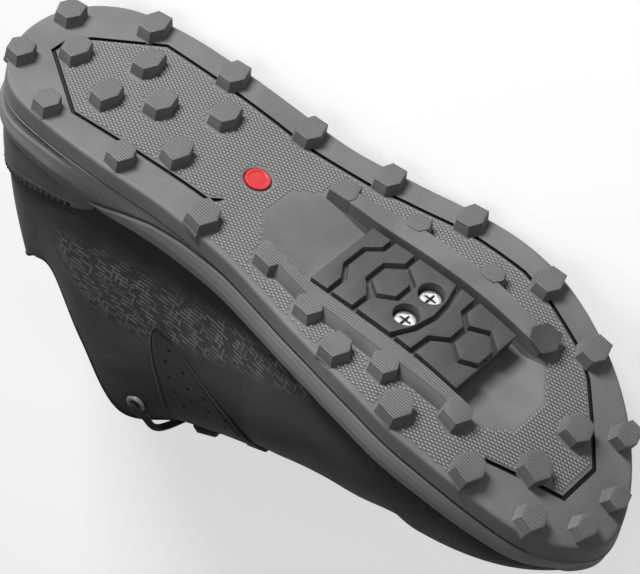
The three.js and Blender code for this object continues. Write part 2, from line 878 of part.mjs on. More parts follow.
// Zigzag and curved grooves in the cover, shares of LONG and WIDE
const TREADS = [
  [[0.567, 0.168], [0.567, 0.089], [0.553, 0.03], [0.553, -0.071], [0.57, -0.119], [0.57, -0.188]],
  [[0.606, 0.168], [0.607, 0.089], [0.588, 0.022], [0.588, -0.063], [0.608, -0.113], [0.607, -0.188]],
  [[0.664, 0.173], [0.678, 0.089], [0.684, -0.005], [0.681, -0.089], [0.671, -0.188]],
  [[0.696, 0.173], [0.698, 0.082], [0.718, 0.028], [0.719, -0.05], [0.701, -0.097], [0.701, -0.188]],
];
function cover() {
  const rows = 6;
  const across = 1;
  const grid = (h) =>
    Array.from({ length: rows + 1 }, (_, i) =>
      Array.from({ length: across + 1 }, (_, k) =>
        below(LONG * (COVER[0] + (COVER[1] * i) / rows), WIDE * (COVER[2] + (COVER[3] * k) / across), h),
      ),
    );
  let body = slab(grid(PAD), grid(-(POCKET - GAP)));
  for (const path of TREADS) body = body.subtract(sweep(plan(path), 0.7, 1.1, PAD - 2.4, PAD + 1));
  for (const [cx, cy] of plan(HEXES)) {
    const hex = Array.from({ length: 7 }, (_, i) => {
      const w = (Math.PI * (i % 6)) / 3;
      return [cx + 6.3 * Math.cos(w), cy + 6.3 * Math.sin(w)];
    });
    hex.push([(hex[0][0] + hex[1][0]) / 2, (hex[0][1] + hex[1][1]) / 2]);
    body = body.subtract(sweep(hex, 0.6, 0.9, PAD - 2, PAD + 1));
  }
  for (const at of SCREWS) {
    body = body.subtract(disc(at, 5, PAD + 1, -1.8, 14)).subtract(disc(at, 2.9, 0, -6, 10));
  }
  return body;
}
function eyelet(row, inner) {
  const u = inner ? 1 - rowU(row) : rowU(row);
  const v = 0.86;
  const n = sideNormal(u, v);
  const c = side(u, v);
  const t = side(u + 0.004, v).sub(side(u - 0.004, v)).normalize();
  const b = n.clone().cross(t).normalize();
  const roundAt = (h, r, k) =>
    Array.from({ length: k }, (_, i) => {
      const w = (2 * Math.PI * i) / k;
      return c
        .clone()
        .addScaledVector(n, h)
        .addScaledVector(t, r * Math.cos(w))
        .addScaledVector(b, r * Math.sin(w));
    });
  const round = (a, d, r, k = 12) => loft([roundAt(a, r, k), roundAt(d, r, k)]);
  const ringBody = round(0.9, 1.8, 4)
    .add(round(-2.6, 1, 2.9))
    .subtract(round(-5, 3, 2.1));
  return { ringBody, hole: round(-5, 3, 3.5) };
}

// Assembly
const DARK = 0x2b2b2d;
const GREY = 0x6b6b6b;
const bodies = {};
const tint = {};
const put = (name, body, colour) => {
  bodies[name] = body;
  tint[name] = colour;
};
put("outsole", outsole(), GREY);
put("midsole", midsole(), 0x7a7a7a);
put("insole", insole(), 0x1c1c1e);
const eyeMed = eyelet(6.32, true);
const eyeLat = eyelet(6.32, false);
put("upper", upper().subtract(eyeMed.hole).subtract(eyeLat.hole), DARK);
put("tongue", tongue(), 0x202022);
put("collar", collar(), 0x161617);
put("heel_counter", heelCounter(), GREY);
put("toe_cap", toeCap(), 0x1a1a1a);
put("heel_tab", heelTab(), 0x161617);
put("side_panel_inner", sidePanel(true), DARK);
put("side_panel_outer", sidePanel(false), DARK);
put("eyelet_inner", eyeMed.ringBody, 0x8a8a8a);
put("eyelet_outer", eyeLat.ringBody, 0x8a8a8a);
const frames = LOOP_ROWS.map((r) => [loopFrame(r, true), loopFrame(r, false)]).reverse();
frames.forEach((pair, i) => {
  put(`loop_inner_${i + 1}`, loop(pair[0]), 0x3a3a3c);
  put(`loop_outer_${i + 1}`, loop(pair[1]), 0x3a3a3c);
});
const ends = frames[0].map((f) => laceAt(f).addScaledVector(f.along, LACE_END));
const bar = [ends[0], ...bow(ends[0], ends[1], 2, [0.15, 0.5, 0.85]), ends[1]];
bar.slice(1, 4).forEach((p) => {
  p.x += 2.4;
});
put(
  "laces",
  joined([
    cord(lacePath(frames, 0), 1.5, 1.2),
    cord(lacePath(frames, 1), 1.5, 1.2),
    cord(bar, 1.5, 1.2),
  ]),
  0x111111,
);
put("cleat_cover", cover(), 0x3c3c3e);
put("screw_inner", screw(SCREWS[0]), 0xd8d8d8);
put("screw_outer", screw(SCREWS[1]), 0xd8d8d8);
put("badge", disc(BADGE, BADGE_R, 0.5, -0.75, 16), 0xb3202a);

const standing = {};
for (const [name, body] of Object.entries(bodies)) {
  const mesh = body.getMesh();
  standing[name] = { pos: Array.from(mesh.vertProperties), idx: Array.from(mesh.triVerts) };
}

// Laid on the lateral side: the hull face under the centre of weight, facing that side
function restFace() {
  const pts = [];
  let mass = 0;
  const centre = V(0, 0, 0);
  for (const [name, { pos, idx }] of Object.entries(standing)) {
    for (let i = 0; i < pos.length; i += 3) pts.push(V(pos[i], pos[i + 1], pos[i + 2]));
    const rho = name.startsWith("screw") ? 7.8 : 1;
    for (let i = 0; i < idx.length; i += 3) {
      const [a, b, c] = [0, 1, 2].map((k) => V(...pos.slice(idx[i + k] * 3, idx[i + k] * 3 + 3)));
      const w = (a.dot(b.clone().cross(c)) / 6) * rho;
      mass += w;
      centre.addScaledVector(a.add(b).add(c), w / 4);
    }
  }
  centre.divideScalar(mass);
  const hull = new ConvexHull().setFromPoints(pts);
  let best = null;
  for (const face of hull.faces) {
    if (face.normal.y > -0.7) continue;
    const dist = face.normal.dot(centre) - face.constant;
    const foot = centre.clone().addScaledVector(face.normal, -dist);
    let inside = true;
    let e = face.edge;
    do {
      const a = e.tail().point;
      const b = e.head().point;
      const s = b.clone().sub(a).cross(foot.clone().sub(a)).dot(face.normal);
      if (s < 0) inside = false;
      e = e.next;
    } while (e !== face.edge);
    if (inside) best = face;
  }
  return best.normal.clone();
}
const down = restFace();
const zAxis = down.clone().negate();
// The sole faces -Y: shoe's up lies along +Y, toe towards -X
const yAxis = V(0, 0, 1).addScaledVector(zAxis, -zAxis.z).normalize();
const xAxis = yAxis.clone().cross(zAxis);
const turn = new THREE.Matrix4().makeBasis(xAxis, yAxis, zAxis).transpose();
const box = new THREE.Box3();
const laid = {};
for (const [name, { pos, idx }] of Object.entries(standing)) {
  const out = [];
  for (let i = 0; i < pos.length; i += 3) {
    const p = V(pos[i], pos[i + 1], pos[i + 2]).applyMatrix4(turn);
    box.expandByPoint(p);
    out.push(p.x, p.y, p.z);
  }
  laid[name] = { pos: out, idx };
}
const mid = box.getCenter(V(0, 0, 0));
const shift = V(-mid.x, -mid.y, -box.min.z);
const group = new THREE.Group();
for (const [name, { pos, idx }] of Object.entries(laid)) {
  const geometry = new THREE.BufferGeometry();
  const out = pos.map((p, i) => p + shift.getComponent(i % 3));
  geometry.setAttribute("position", new THREE.Float32BufferAttribute(out, 3));
  geometry.setIndex(idx);
  geometry.computeVertexNormals();
  const material = new THREE.MeshStandardMaterial({ color: tint[name], roughness: 0.7 });
  const mesh = new THREE.Mesh(geometry, material);
  mesh.name = name;
  group.add(mesh);
}
export default group;
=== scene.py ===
# Right-foot cycling shoe on its lateral side, dressed for the picture.
# Sizes are millimetres in the shoe's own frame: x forward from the heel, y towards the inner side, z up.
import json
import math

import bmesh
import bpy
import numpy as np
from mathutils import Matrix, Vector, geometry
from mathutils.kdtree import KDTree


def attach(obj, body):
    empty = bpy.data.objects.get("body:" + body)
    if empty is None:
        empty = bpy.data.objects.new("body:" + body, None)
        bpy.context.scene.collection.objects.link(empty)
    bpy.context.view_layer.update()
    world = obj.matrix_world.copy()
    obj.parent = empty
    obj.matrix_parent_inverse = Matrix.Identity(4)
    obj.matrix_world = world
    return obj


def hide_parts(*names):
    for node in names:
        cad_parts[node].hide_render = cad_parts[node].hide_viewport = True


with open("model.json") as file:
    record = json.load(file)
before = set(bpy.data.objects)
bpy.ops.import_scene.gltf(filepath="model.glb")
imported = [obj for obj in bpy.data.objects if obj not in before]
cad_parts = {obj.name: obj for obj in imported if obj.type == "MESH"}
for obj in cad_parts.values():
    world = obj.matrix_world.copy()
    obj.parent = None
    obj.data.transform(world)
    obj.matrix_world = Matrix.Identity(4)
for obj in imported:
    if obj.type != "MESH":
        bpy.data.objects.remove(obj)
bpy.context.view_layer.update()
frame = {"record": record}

# Sizes
LONG = 283  # outsole length
WIDE = 101  # outsole width at the ball
TALL = 122  # height of the collar's front corners
SPRING = 38  # lift of the tread base at the toe
PLATE = 7  # outsole thickness at its edge
STACK = 23  # outsole and midsole together at the heel
CUP = 3  # depth of the foot bed under the midsole's lip
GAP = 0.35
WALL = 2
LUG = 5
PAD = 4  # height of the cover's top over the tread base
POCKET = 4.6
SCREWS_APART = 14
BADGE_R = 4.8
NIP = 0.3  # small rounding of moulded edges
WEAVE_LONG = 2.6  # tread pattern, along and across
WEAVE_WIDE = 1.466

# Camera, in the shoe's frame
CAMERA_AT = (488.158, 564.766, -683.336)
CAMERA_SIDE = (0.353043, 0.582955, -0.731795)  # from the shoe towards the camera
CAMERA_UP = (-0.549244, -0.504068, -0.666519)
CAMERA_FOCAL_PX = 2736.07
PICTURE_PX = (640, 574)

# Outsole outline, heel to toe: share of LONG, lateral and inner edge as shares of WIDE
OUTLINE = [
    (0.007, -0.03, -0.03),
    (0.014, -0.145, 0.09),
    (0.04, -0.268, 0.225),
    (0.085, -0.355, 0.31),
    (0.16, -0.4, 0.335),
    (0.25, -0.416, 0.33),
    (0.34, -0.426, 0.305),
    (0.43, -0.448, 0.3),
    (0.51, -0.496, 0.335),
    (0.59, -0.536, 0.385),
    (0.67, -0.556, 0.43),
    (0.745, -0.54, 0.452),
    (0.82, -0.478, 0.43),
    (0.885, -0.39, 0.385),
    (0.94, -0.27, 0.315),
    (0.982, -0.12, 0.185),
    (1.0, 0.04, 0.04),
]
# Topline on the same rows: share of LONG, lateral and inner share of WIDE, share of TALL
TOPLINE = [
    (0.052, -0.03, -0.03, 0.87),
    (0.057, -0.1, 0.05, 0.865),
    (0.077, -0.18, 0.14, 0.8),
    (0.11, -0.25, 0.2, 0.71),
    (0.163, -0.3, 0.265, 0.645),
    (0.233, -0.335, 0.3, 0.8),
    (0.312, -0.32, 0.295, 0.99),
    (0.4, -0.245, 0.232, 0.905),
    (0.482, -0.205, 0.195, 0.835),
    (0.558, -0.175, 0.17, 0.785),
    (0.626, -0.145, 0.145, 0.745),
    (0.675, -0.115, 0.122, 0.725),
    (0.701, -0.08, 0.09, 0.713),
    (0.711, -0.05, 0.064, 0.708),
    (0.716, -0.028, 0.044, 0.705),
    (0.718, -0.008, 0.026, 0.704),
    (0.719, 0.008, 0.008, 0.704),
]
# Swell of the side: rise and swell at the foot, reach and drop at the topline
SWELL = [
    (22, 1.4, 6, 24),
    (22, 1.4, 6, 24),
    (22, 1.6, 5.5, 22),
    (20, 2, 5.5, 19),
    (18, 2, 5, 17),
    (24, 2.4, 5, 24),
    (30, 3, 6, 30),
    (32, 3, 13, 19),
    (30, 3, 15, 13),
    (27, 3, 17, 10),
    (22, 2.4, 18, 9),
    (17, 2, 20, 9),
    (12, 2, 22, 10),
    (10, 2, 25, 11),
    (9, 2, 28, 12),
    (8, 2, 30, 12.5),
    (8, 2, 31, 13),
]
# Tread base: share of LONG and share of SPRING
ROCKER = [
    (-0.1, 0),
    (0.0, 0),
    (0.2, 0),
    (0.32, 0.05),
    (0.42, 0.14),
    (0.53, 0.183),
    (0.62, 0.16),
    (0.7, 0.175),
    (0.78, 0.28),
    (0.85, 0.44),
    (0.92, 0.665),
    (0.97, 0.86),
    (1.0, 1.0),
    (1.1, 1.45),
]
STACKS = [
    (0, 1.0),
    (0.2, 0.97),
    (0.4, 0.84),
    (0.55, 0.8),
    (0.75, 0.8),
    (0.9, 0.7),
    (1.0, 0.52),
    (1.05, 0.48),
]
FLARES = [
    (0, 0),
    (0.03, 0.2),
    (0.09, 0.6),
    (0.2, 0.8),
    (0.4, 0.6),
    (0.75, 0.5),
    (0.92, 0),
    (1.0, -1.6),
    (1.05, -1.6),
]
# Lugs: tip centre as shares of LONG and WIDE, half length, half width
LUGS = [
    (0.032, -0.129, 5, 5.5),
    (0.039, 0.149, 5, 5.2),
    (0.127, 0.272, 4.8, 4.8),
    (0.085, 0, 5, 6),
    (0.122, -0.307, 5, 6.2),
    (0.163, -0.149, 4.8, 6.3),
    (0.166, 0.082, 4.9, 6.2),
    (0.223, -0.03, 5, 6),
    (0.251, 0.262, 5, 5.2),
    (0.251, -0.337, 5, 6),
    (0.29, -0.168, 5, 6),
    (0.293, 0.099, 5, 6),
    (0.378, -0.356, 5, 6),
    (0.383, 0.238, 5.7, 6),
    (0.495, -0.411, 5, 6),
    (0.611, -0.47, 5, 6),
    (0.742, -0.455, 5, 6),
    (0.629, 0.347, 5.5, 5.5),
    (0.841, -0.379, 5, 6),
    (0.735, 0.381, 6, 6),
    (0.894, -0.099, 5.6, 5.4),
    (0.936, -0.248, 4.5, 5.4),
    (0.845, 0.351, 5.4, 6),
    (0.894, 0.139, 5.8, 5.6),
    (0.931, 0.283, 4.8, 5.2),
    (0.979, -0.05, 4, 4.6),
    (0.977, 0.129, 4, 4.8),
    (0.473, -0.228, 5.4, 6),
    (0.481, 0.188, 6, 6),
    (0.792, -0.248, 5.8, 6.4),
    (0.788, 0.226, 5.4, 5.6),
    (0.565, 0.272, 5.4, 4.6),
    (0.687, 0.282, 5.2, 4.8),
    (0.572, -0.307, 4.6, 4.2),
    (0.689, -0.312, 4.6, 4.2),
]
# Rings of a lug from root to tip: height, growth over the tip's outline
LUG_RINGS = [
    (-1.6, 0.8),
    (0.0, 0.75),
    (0.3, 0.5),
    (LUG - 0.25, 0.05),
    (LUG - 0.07, -0.02),
    (LUG, -0.2),
    (LUG, -1.6),
]
LUG_TIP = [(-1, -0.12), (-0.5, -1), (0.55, -0.95), (1, -0.1), (0.58, 1), (-0.6, 0.86)]
# Groove round the textured panel, from the waist's inner side round the heel and toe
GROOVE = [
    (0.373, 0.124),
    (0.364, 0.153),
    (0.254, 0.188),
    (0.223, 0.198),
    (0.155, 0.218),
    (0.06, 0.04),
    (0.06, -0.04),
    (0.078, -0.109),
    (0.152, -0.287),
    (0.23, -0.297),
    (0.382, -0.312),
    (0.481, -0.356),
    (0.53, -0.391),
    (0.618, -0.436),
    (0.707, -0.441),
    (0.756, -0.416),
    (0.823, -0.356),
    (0.855, -0.297),
    (0.89, -0.198),
    (0.933, -0.069),
    (0.933, 0.109),
    (0.848, 0.252),
]
RAILS = [
    {"path": [(0.473, -0.218), (0.565, -0.257), (0.671, -0.262), (0.792, -0.238)], "low": 5.4, "high": 3.6},
    {"path": [(0.484, 0.183), (0.565, 0.224), (0.671, 0.232), (0.784, 0.208)], "low": 4.2, "high": 2.4},
]
# Cleat pocket, lateral and inner edge of its mouth
MOUTH_OUT = [
    (0.424, -0.109),
    (0.456, -0.198),
    (0.537, -0.201),
    (0.622, -0.204),
    (0.707, -0.203),
    (0.809, -0.198),
    (0.841, -0.079),
]
MOUTH_IN = [
    (0.424, 0.04),
    (0.456, 0.149),
    (0.537, 0.188),
    (0.622, 0.192),
    (0.707, 0.19),
    (0.813, 0.182),
    (0.841, 0.079),
]
# Cover: start, length, lateral edge, width
COVER = (0.537, 0.226, -0.172, 0.338)
HEXES = [(0.611, -0.014), (0.74, -0.011)]
# Middle of the groove round a hexagon
HEX = [(6.4, 4.4), (0, 9), (-6.4, 4.4), (-6.4, -4.4), (0, -9), (6.4, -4.4)]
TREADS = [
    [(0.567, 0.168), (0.567, 0.089), (0.553, 0.03), (0.553, -0.071), (0.57, -0.119), (0.57, -0.188)],
    [(0.606, 0.168), (0.607, 0.089), (0.588, 0.022), (0.588, -0.063), (0.608, -0.113), (0.607, -0.188)],
    [(0.664, 0.173), (0.678, 0.089), (0.684, -0.005), (0.681, -0.089), (0.671, -0.188)],
    [(0.696, 0.173), (0.698, 0.082), (0.718, 0.028), (0.719, -0.05), (0.701, -0.097), (0.701, -0.188)],
]
SCREWS_AT = (0.657, -0.008)
BADGE = (0.382 * LONG, -0.057 * WIDE)
# Tongue: centre of its top face as shares of LONG and TALL, half width as a share of WIDE, fall to its edges
TONGUE = [
    (0.749, 0.655, 0.083, 2.6),
    (0.717, 0.673, 0.103, 3.2),
    (0.678, 0.693, 0.129, 4),
    (0.625, 0.718, 0.153, 4.6),
    (0.558, 0.754, 0.178, 5.4),
    (0.481, 0.807, 0.203, 6.4),
    (0.396, 0.893, 0.223, 9),
    (0.346, 0.967, 0.228, 10),
    (0.322, 1.025, 0.218, 11),
]
LOOP_ROWS = [10.35, 9.35, 8.3, 7.35]
LOOP_WIDE = 8
EYELET = (6.32, 0.86)  # row and height on the side
EYELET_HOLE_R = 3.4
LACE_HALF = (1.7, 1.25)  # half width and half thickness
# Turned pieces: rows of radius and height
EYELET_TURNED = [
    (2.15, -2.6),
    (2.1, 1.3),
    (2.3, 1.75),
    (2.9, 1.95),
    (3.6, 1.75),
    (4.0, 1.3),
    (4.0, 0.9),
    (2.95, 0.8),
    (2.9, -2.6),
]
SCREW_TURNED = [(2.4, -4), (2.4, -1.4), (4.1, -1.4), (4.1, 0.75), (3.95, 1.02), (3.6, 1.15), (2.6, 1.2)]
BADGE_TURNED = [
    (BADGE_R, -0.75),
    (BADGE_R, 0.2),
    (4.62, 0.42),
    (4.2, 0.5),
    (3.7, 0.5),
    (3.5, 0.4),
    (3.3, 0.2),
    (2.6, 0.24),
    (1.2, 0.3),
]
SCREW_BORES = [(5, PAD + 1, -1.8, 48), (2.9, 0, -6, 32)]  # radius, top, bottom, sides
CROSS = (2.6, 0.55)  # half length and half width of one bar of the screw's cross
# Row, height and half height of the band of dashes on the knit
DASH_BAND = [
    (3.6, 0.6, 0.1),
    (4.4, 0.56, 0.17),
    (5.4, 0.42, 0.2),
    (6.9, 0.27, 0.13),
    (8.2, 0.15, 0.1),
    (9.6, 0.02, 0.05),
]
# Height over the tread base of the groove between plate and foam, by millimetres from the heel
SEAM = [
    (0, 21),
    (62, 20.5),
    (70, 18.5),
    (78, 15.4),
    (90, 11.9),
    (105, 9.4),
    (125, 8.2),
    (250, 7.9),
    (283, 7.6),
]
STITCH_LEVELS = (0.83, 0.92)
# Lights: place in metres, width and height, power
LIGHTS = {
    "key": ((0.7, -1.45, 0.36), (0.7, 0.45), 36),
    "toe_side": ((-1.3, -0.9, 0.9), (0.6, 0.6), 2.5),
    "top": ((0.45, -0.2, 1.7), (1.2, 1.2), 4.5),
}
ROWS = len(OUTLINE) - 1


# Forms
def hermite(rows, x, col=1):
    rows = np.array(rows, float)
    x = np.asarray(x, float)
    i = np.clip(np.searchsorted(rows[:, 0], x, side="left"), 1, len(rows) - 1)
    a, b = rows[i - 1], rows[i]
    pa = rows[np.maximum(0, i - 2)]
    pb = rows[np.minimum(len(rows) - 1, i + 1)]
    h = b[..., 0] - a[..., 0]
    f = (x - a[..., 0]) / h
    slope_a = (b[..., col] - pa[..., col]) / (b[..., 0] - pa[..., 0]) * h
    slope_b = (pb[..., col] - a[..., col]) / (pb[..., 0] - a[..., 0]) * h
    f2, f3 = f * f, f**3
    return (
        (2 * f3 - 3 * f2 + 1) * a[..., col]
        + (f3 - 2 * f2 + f) * slope_a
        + (3 * f2 - 2 * f3) * b[..., col]
        + (f3 - f2) * slope_b
    )


def rock(x):
    return SPRING * hermite(ROCKER, np.asarray(x, float) / LONG)


def stack(x):
    return STACK * hermite(STACKS, np.asarray(x, float) / LONG)


def flare(x):
    return hermite(FLARES, np.maximum(0, np.asarray(x, float) / LONG))


def slope(x):
    return np.arctan2(rock(np.asarray(x, float) + 0.5) - rock(np.asarray(x, float) - 0.5), 1)


def around(rows, cols, u):
    """Table value round the shoe: u is 0 at the heel, 0.5 at the toe by the lateral side, 1 at the heel."""
    last = len(rows) - 1
    whole = 2 * last
    table = []
    for m in range(whole):
        row = rows[whole - m if m > last else m]
        table.append([row[c[m > last] if isinstance(c, tuple) else c] for c in cols])
    table = np.array(table, float)
    s = np.mod(np.asarray(u, float), 1) * whole
    k = np.floor(s).astype(int)
    f = (s - k)[..., None]
    a, b, c, d = (table[(k + q) % whole] for q in (-1, 0, 1, 2))
    m1, m2 = (c - a) / 2, (d - b) / 2
    f2, f3 = f * f, f**3
    return (2 * f3 - 3 * f2 + 1) * b + (f3 - 2 * f2 + f) * m1 + (3 * f2 - 2 * f3) * c + (f3 - f2) * m2


def edge(u):
    return around(OUTLINE, [0, (1, 2)], u) * (LONG, WIDE)


def outward(u):
    t = edge(np.asarray(u) + 0.004) - edge(np.asarray(u) - 0.004)
    t /= np.linalg.norm(t, axis=-1, keepdims=True)
    return np.stack([t[..., 1], -t[..., 0]], -1)


def rim(u, out):
    return edge(u) + outward(u) * np.asarray(out, float)[..., None]


def side(u, v):
    """Outer face of the upper: v is 0 over the midsole's lip and 1 at the topline."""
    u, v = np.broadcast_arrays(np.asarray(u, float), np.asarray(v, float))
    ex = edge(u)[..., 0]
    foot = rim(u, flare(ex) - CUP - GAP - 0.35)
    top = around(TOPLINE, [0, (1, 2), 3], u) * (LONG, WIDE, TALL)
    rise, swell, reach, drop = np.moveaxis(around(SWELL, [0, 1, 2, 3], u), -1, 0)
    n = outward(u)
    p0 = np.concatenate([foot, (rock(ex) + stack(ex) + 0.4)[..., None]], -1)
    p1 = p0 + np.stack([n[..., 0] * swell, n[..., 1] * swell, rise], -1)
    p2 = top + np.stack([n[..., 0] * reach, n[..., 1] * reach, -drop], -1)
    v = v[..., None]
    w = 1 - v
    return w**3 * p0 + 3 * w * w * v * p1 + 3 * w * v * v * p2 + v**3 * top


def side_normal(u, v):
    u, v = np.broadcast_arrays(np.asarray(u, float), np.asarray(v, float))
    du = side(u + 0.003, v) - side(u - 0.003, v)
    dv = side(u, np.minimum(1, v + 0.02)) - side(u, np.maximum(0, v - 0.02))
    n = np.cross(du, dv)
    return n / np.linalg.norm(n, axis=-1, keepdims=True)


def lifted(u, v, lift):
    return side(u, v) + side_normal(u, v) * np.asarray(lift, float)[..., None]


def below(x, y, h):
    """Point at a height outside the tread base, square to it."""
    x, y, h = np.broadcast_arrays(np.asarray(x, float), np.asarray(y, float), np.asarray(h, float))
    a = slope(x)
    return np.stack([x + np.sin(a) * h, y, rock(x) - np.cos(a) * h], -1)


def plan(rows):
    return np.array(rows, float) * (LONG, WIDE)


def row_u(row, inner=False):
    u = np.asarray(row, float) / (2 * ROWS)
    return 1 - u if inner else u


def smooth(low, high, x):
    t = np.clip((np.asarray(x, float) - low) / (high - low), 0, 1)
    return t * t * (3 - 2 * t)


# Laying the shoe down: three lug tips are known standing and, as mounts, lying
def lug_tip(x, y):
    a = slope(x)
    foot = x - LUG * np.sin(a)
    return np.array([foot + np.sin(a) * LUG, y, rock(foot) - np.cos(a) * LUG])


def basis(points):
    a, b, c = (np.array(p, float) for p in points)
    e1 = (b - a) / np.linalg.norm(b - a)
    e3 = np.cross(e1, c - a)
    e3 /= np.linalg.norm(e3)
    return a, np.stack([e1, np.cross(e3, e1), e3], 1)


mounts = {m["name"]: m["pos_m"] for m in frame["record"]["mounts"]}
TIPS = {"heel_rest": LUGS[3], "ball_rest_inner": LUGS[17], "ball_rest_outer": LUGS[15]}
stand_at, stand_axes = basis([lug_tip(x * LONG, y * WIDE) for x, y, _, _ in TIPS.values()])
lie_at, lie_axes = basis([mounts[name] for name in TIPS])
TURN = lie_axes @ stand_axes.T


def lay(points):
    """Shoe frame in millimetres to row frame in metres."""
    return (np.asarray(points, float) - stand_at) @ TURN.T / 1000 + lie_at


def stand(points):
    return (np.asarray(points, float) - lie_at) @ TURN * 1000 + stand_at


# Shader maths
class Wire:
    """A shader socket that takes part in sums."""

    def __init__(self, finish, socket):
        self.finish = finish
        self.socket = socket

    def math(self, kind, *others):
        return self.finish.node("Math", {"operation": kind}, self, *others)

    def __add__(self, other):
        return self.math("ADD", other)

    def __radd__(self, other):
        return self.math("ADD", other)

    def __sub__(self, other):
        return self.math("SUBTRACT", other)

    def __rsub__(self, other):
        return self.finish.node("Math", {"operation": "SUBTRACT"}, other, self)

    def __mul__(self, other):
        return self.math("MULTIPLY", other)

    def __rmul__(self, other):
        return self.math("MULTIPLY", other)

    def __truediv__(self, other):
        return self.math("DIVIDE", other)

    def sin(self):
        return self.math("SINE")

    def abs(self):
        return self.math("ABSOLUTE")

    def fract(self):
        return self.math("FRACT")

    def floor(self):
        return self.math("FLOOR")

    def over(self, level):
        return self.math("GREATER_THAN", level)

    def under(self, level):
        return self.math("LESS_THAN", level)

    def high(self, other):
        return self.math("MAXIMUM", other)

    def wave(self, period):
        """Runs from 0 to 1 and back once a period."""
        return (self * (2 * math.pi / period)).sin() * 0.5 + 0.5

    def ease(self, start, end):
        """0 before start, 1 after end, smooth between; start may be the larger."""
        ranged = {"interpolation_type": "SMOOTHSTEP"}
        if start < end:
            return self.finish.node("MapRange", ranged, self, start, end, 0.0, 1.0)
        return self.finish.node("MapRange", ranged, self, end, start, 1.0, 0.0)


class Finish:
    """A material with one Principled shader, whose constant values are set on its own sockets."""

    def __init__(self, name, **values):
        self.material = bpy.data.materials.new(name)
        self.material.use_nodes = True
        self.tree = self.material.node_tree
        self.shader = self.tree.nodes["Principled BSDF"]
        for key, value in values.items():
            socket = self.shader.inputs[key.replace("_", " ").title().replace("Ior", "IOR")]
            socket.default_value = (*value, 1) if isinstance(value, tuple) else value

    def put(self, socket, value):
        if isinstance(value, Wire):
            self.tree.links.new(value.socket, socket)
        elif isinstance(value, tuple) and len(value) == 3 and len(socket.default_value) == 4:
            socket.default_value = (*value, 1)
        else:
            socket.default_value = value

    def node(self, kind, settings, *values):
        """Adds a node: its settings come first, then the values or wires of its sockets."""
        made = self.tree.nodes.new("ShaderNode" + kind)
        for key, value in settings.items():
            setattr(made, key, value)
        for socket, value in zip([s for s in made.inputs if s.enabled], values):
            self.put(socket, value)
        return Wire(self, next(s for s in made.outputs if s.enabled))

    def place(self, name="shoe"):
        """Vector stored on the mesh: millimetres in the shoe's frame, or along its surface."""
        made = self.tree.nodes.new("ShaderNodeAttribute")
        made.attribute_name = name
        return Wire(self, made.outputs["Vector"])

    def value(self, name):
        made = self.tree.nodes.new("ShaderNodeAttribute")
        made.attribute_name = name
        return Wire(self, made.outputs["Fac"])

    def parts(self, vector):
        made = self.tree.nodes.new("ShaderNodeSeparateXYZ")
        self.tree.links.new(vector.socket, made.inputs[0])
        return [Wire(self, s) for s in made.outputs]

    def vector(self, x, y, z=0.0):
        return self.node("CombineXYZ", {}, x, y, z)

    def scaled(self, vector, sizes):
        return self.node("VectorMath", {"operation": "MULTIPLY"}, vector, sizes)

    def noise(self, vector, scale, detail=3.0, rough=0.55, stretch=None):
        at = self.scaled(vector, stretch) if stretch else vector
        return self.node("TexNoise", {"noise_dimensions": "3D"}, at, scale, detail, rough)

    def mix(self, factor, a, b):
        made = self.tree.nodes.new("ShaderNodeMix")
        made.data_type = "RGBA"
        for socket, value in zip([made.inputs[0], made.inputs[6], made.inputs[7]], (factor, a, b)):
            self.put(socket, value)
        return Wire(self, made.outputs[2])

    def bump(self, height, depth_mm, strength=1.0, after=None):
        """Relief of a 0 to 1 height, its full depth in millimetres."""
        made = self.tree.nodes.new("ShaderNodeBump")
        made.inputs["Strength"].default_value = strength
        made.inputs["Distance"].default_value = depth_mm / 1000
        self.put(made.inputs["Height"], height)
        if after is not None:
            self.put(made.inputs["Normal"], after)
        return Wire(self, made.outputs["Normal"])

    def done(self, colour=None, rough=None, normal=None, metal=None):
        wanted = {"Base Color": colour, "Roughness": rough, "Normal": normal, "Metallic": metal}
        for name, value in wanted.items():
            if value is not None:
                self.put(self.shader.inputs[name], value)
        return self.material


# Mesh tools
def grid_faces(n, m, wrap=False):
    """Quads over an n by m grid of points, joined round its first direction if wrap."""
    faces = []
    for i in range(n if wrap else n - 1):
        j = (i + 1) % n
        for k in range(m - 1):
            faces.append((i * m + k, j * m + k, j * m + k + 1, i * m + k + 1))
    return faces


def quad_or_triangle(ids):
    """A face from four point numbers, of which two may be the same; none if fewer than three differ."""
    clean = tuple(dict.fromkeys(ids))
    return [clean] if len(clean) > 2 else []


def closed_across(ids):
    """Faces that close a ring of point numbers, from its lateral half across to its inner half."""
    n = len(ids)
    faces = []
    for i in range(n // 2):
        faces += quad_or_triangle([ids[i], ids[i + 1], ids[n - i - 1], ids[(n - i) % n]])
    return faces


def make(name, points, faces, marks=None):
    """Mesh object from points in the shoe's frame, with its named numbers per point."""
    mesh = bpy.data.meshes.new(name)
    mesh.from_pydata(lay(points).tolist(), [], [tuple(int(i) for i in f) for f in faces])
    for key, values in (marks or {}).items():
        values = np.asarray(values, np.float32)
        kind = "FLOAT_VECTOR" if values.ndim == 2 else "FLOAT"
        layer = mesh.attributes.new(key, kind, "POINT")
        layer.data.foreach_set("vector" if values.ndim == 2 else "value", values.ravel())
    obj = bpy.data.objects.new(name, mesh)
    bpy.context.scene.collection.objects.link(obj)
    return obj


def outside(obj):
    """Turns every face outwards."""
    bm = bmesh.new()
    bm.from_mesh(obj.data)
    bmesh.ops.recalc_face_normals(bm, faces=bm.faces)
    bm.to_mesh(obj.data)
    bm.free()


def apply(obj, kind, **settings):
    modifier = obj.modifiers.new(kind, kind)
    for key, value in settings.items():
        setattr(modifier, key, value)
    graph = bpy.context.evaluated_depsgraph_get()
    mesh = bpy.data.meshes.new_from_object(obj.evaluated_get(graph), depsgraph=graph)
    obj.modifiers.clear()
    obj.data = mesh
    return obj


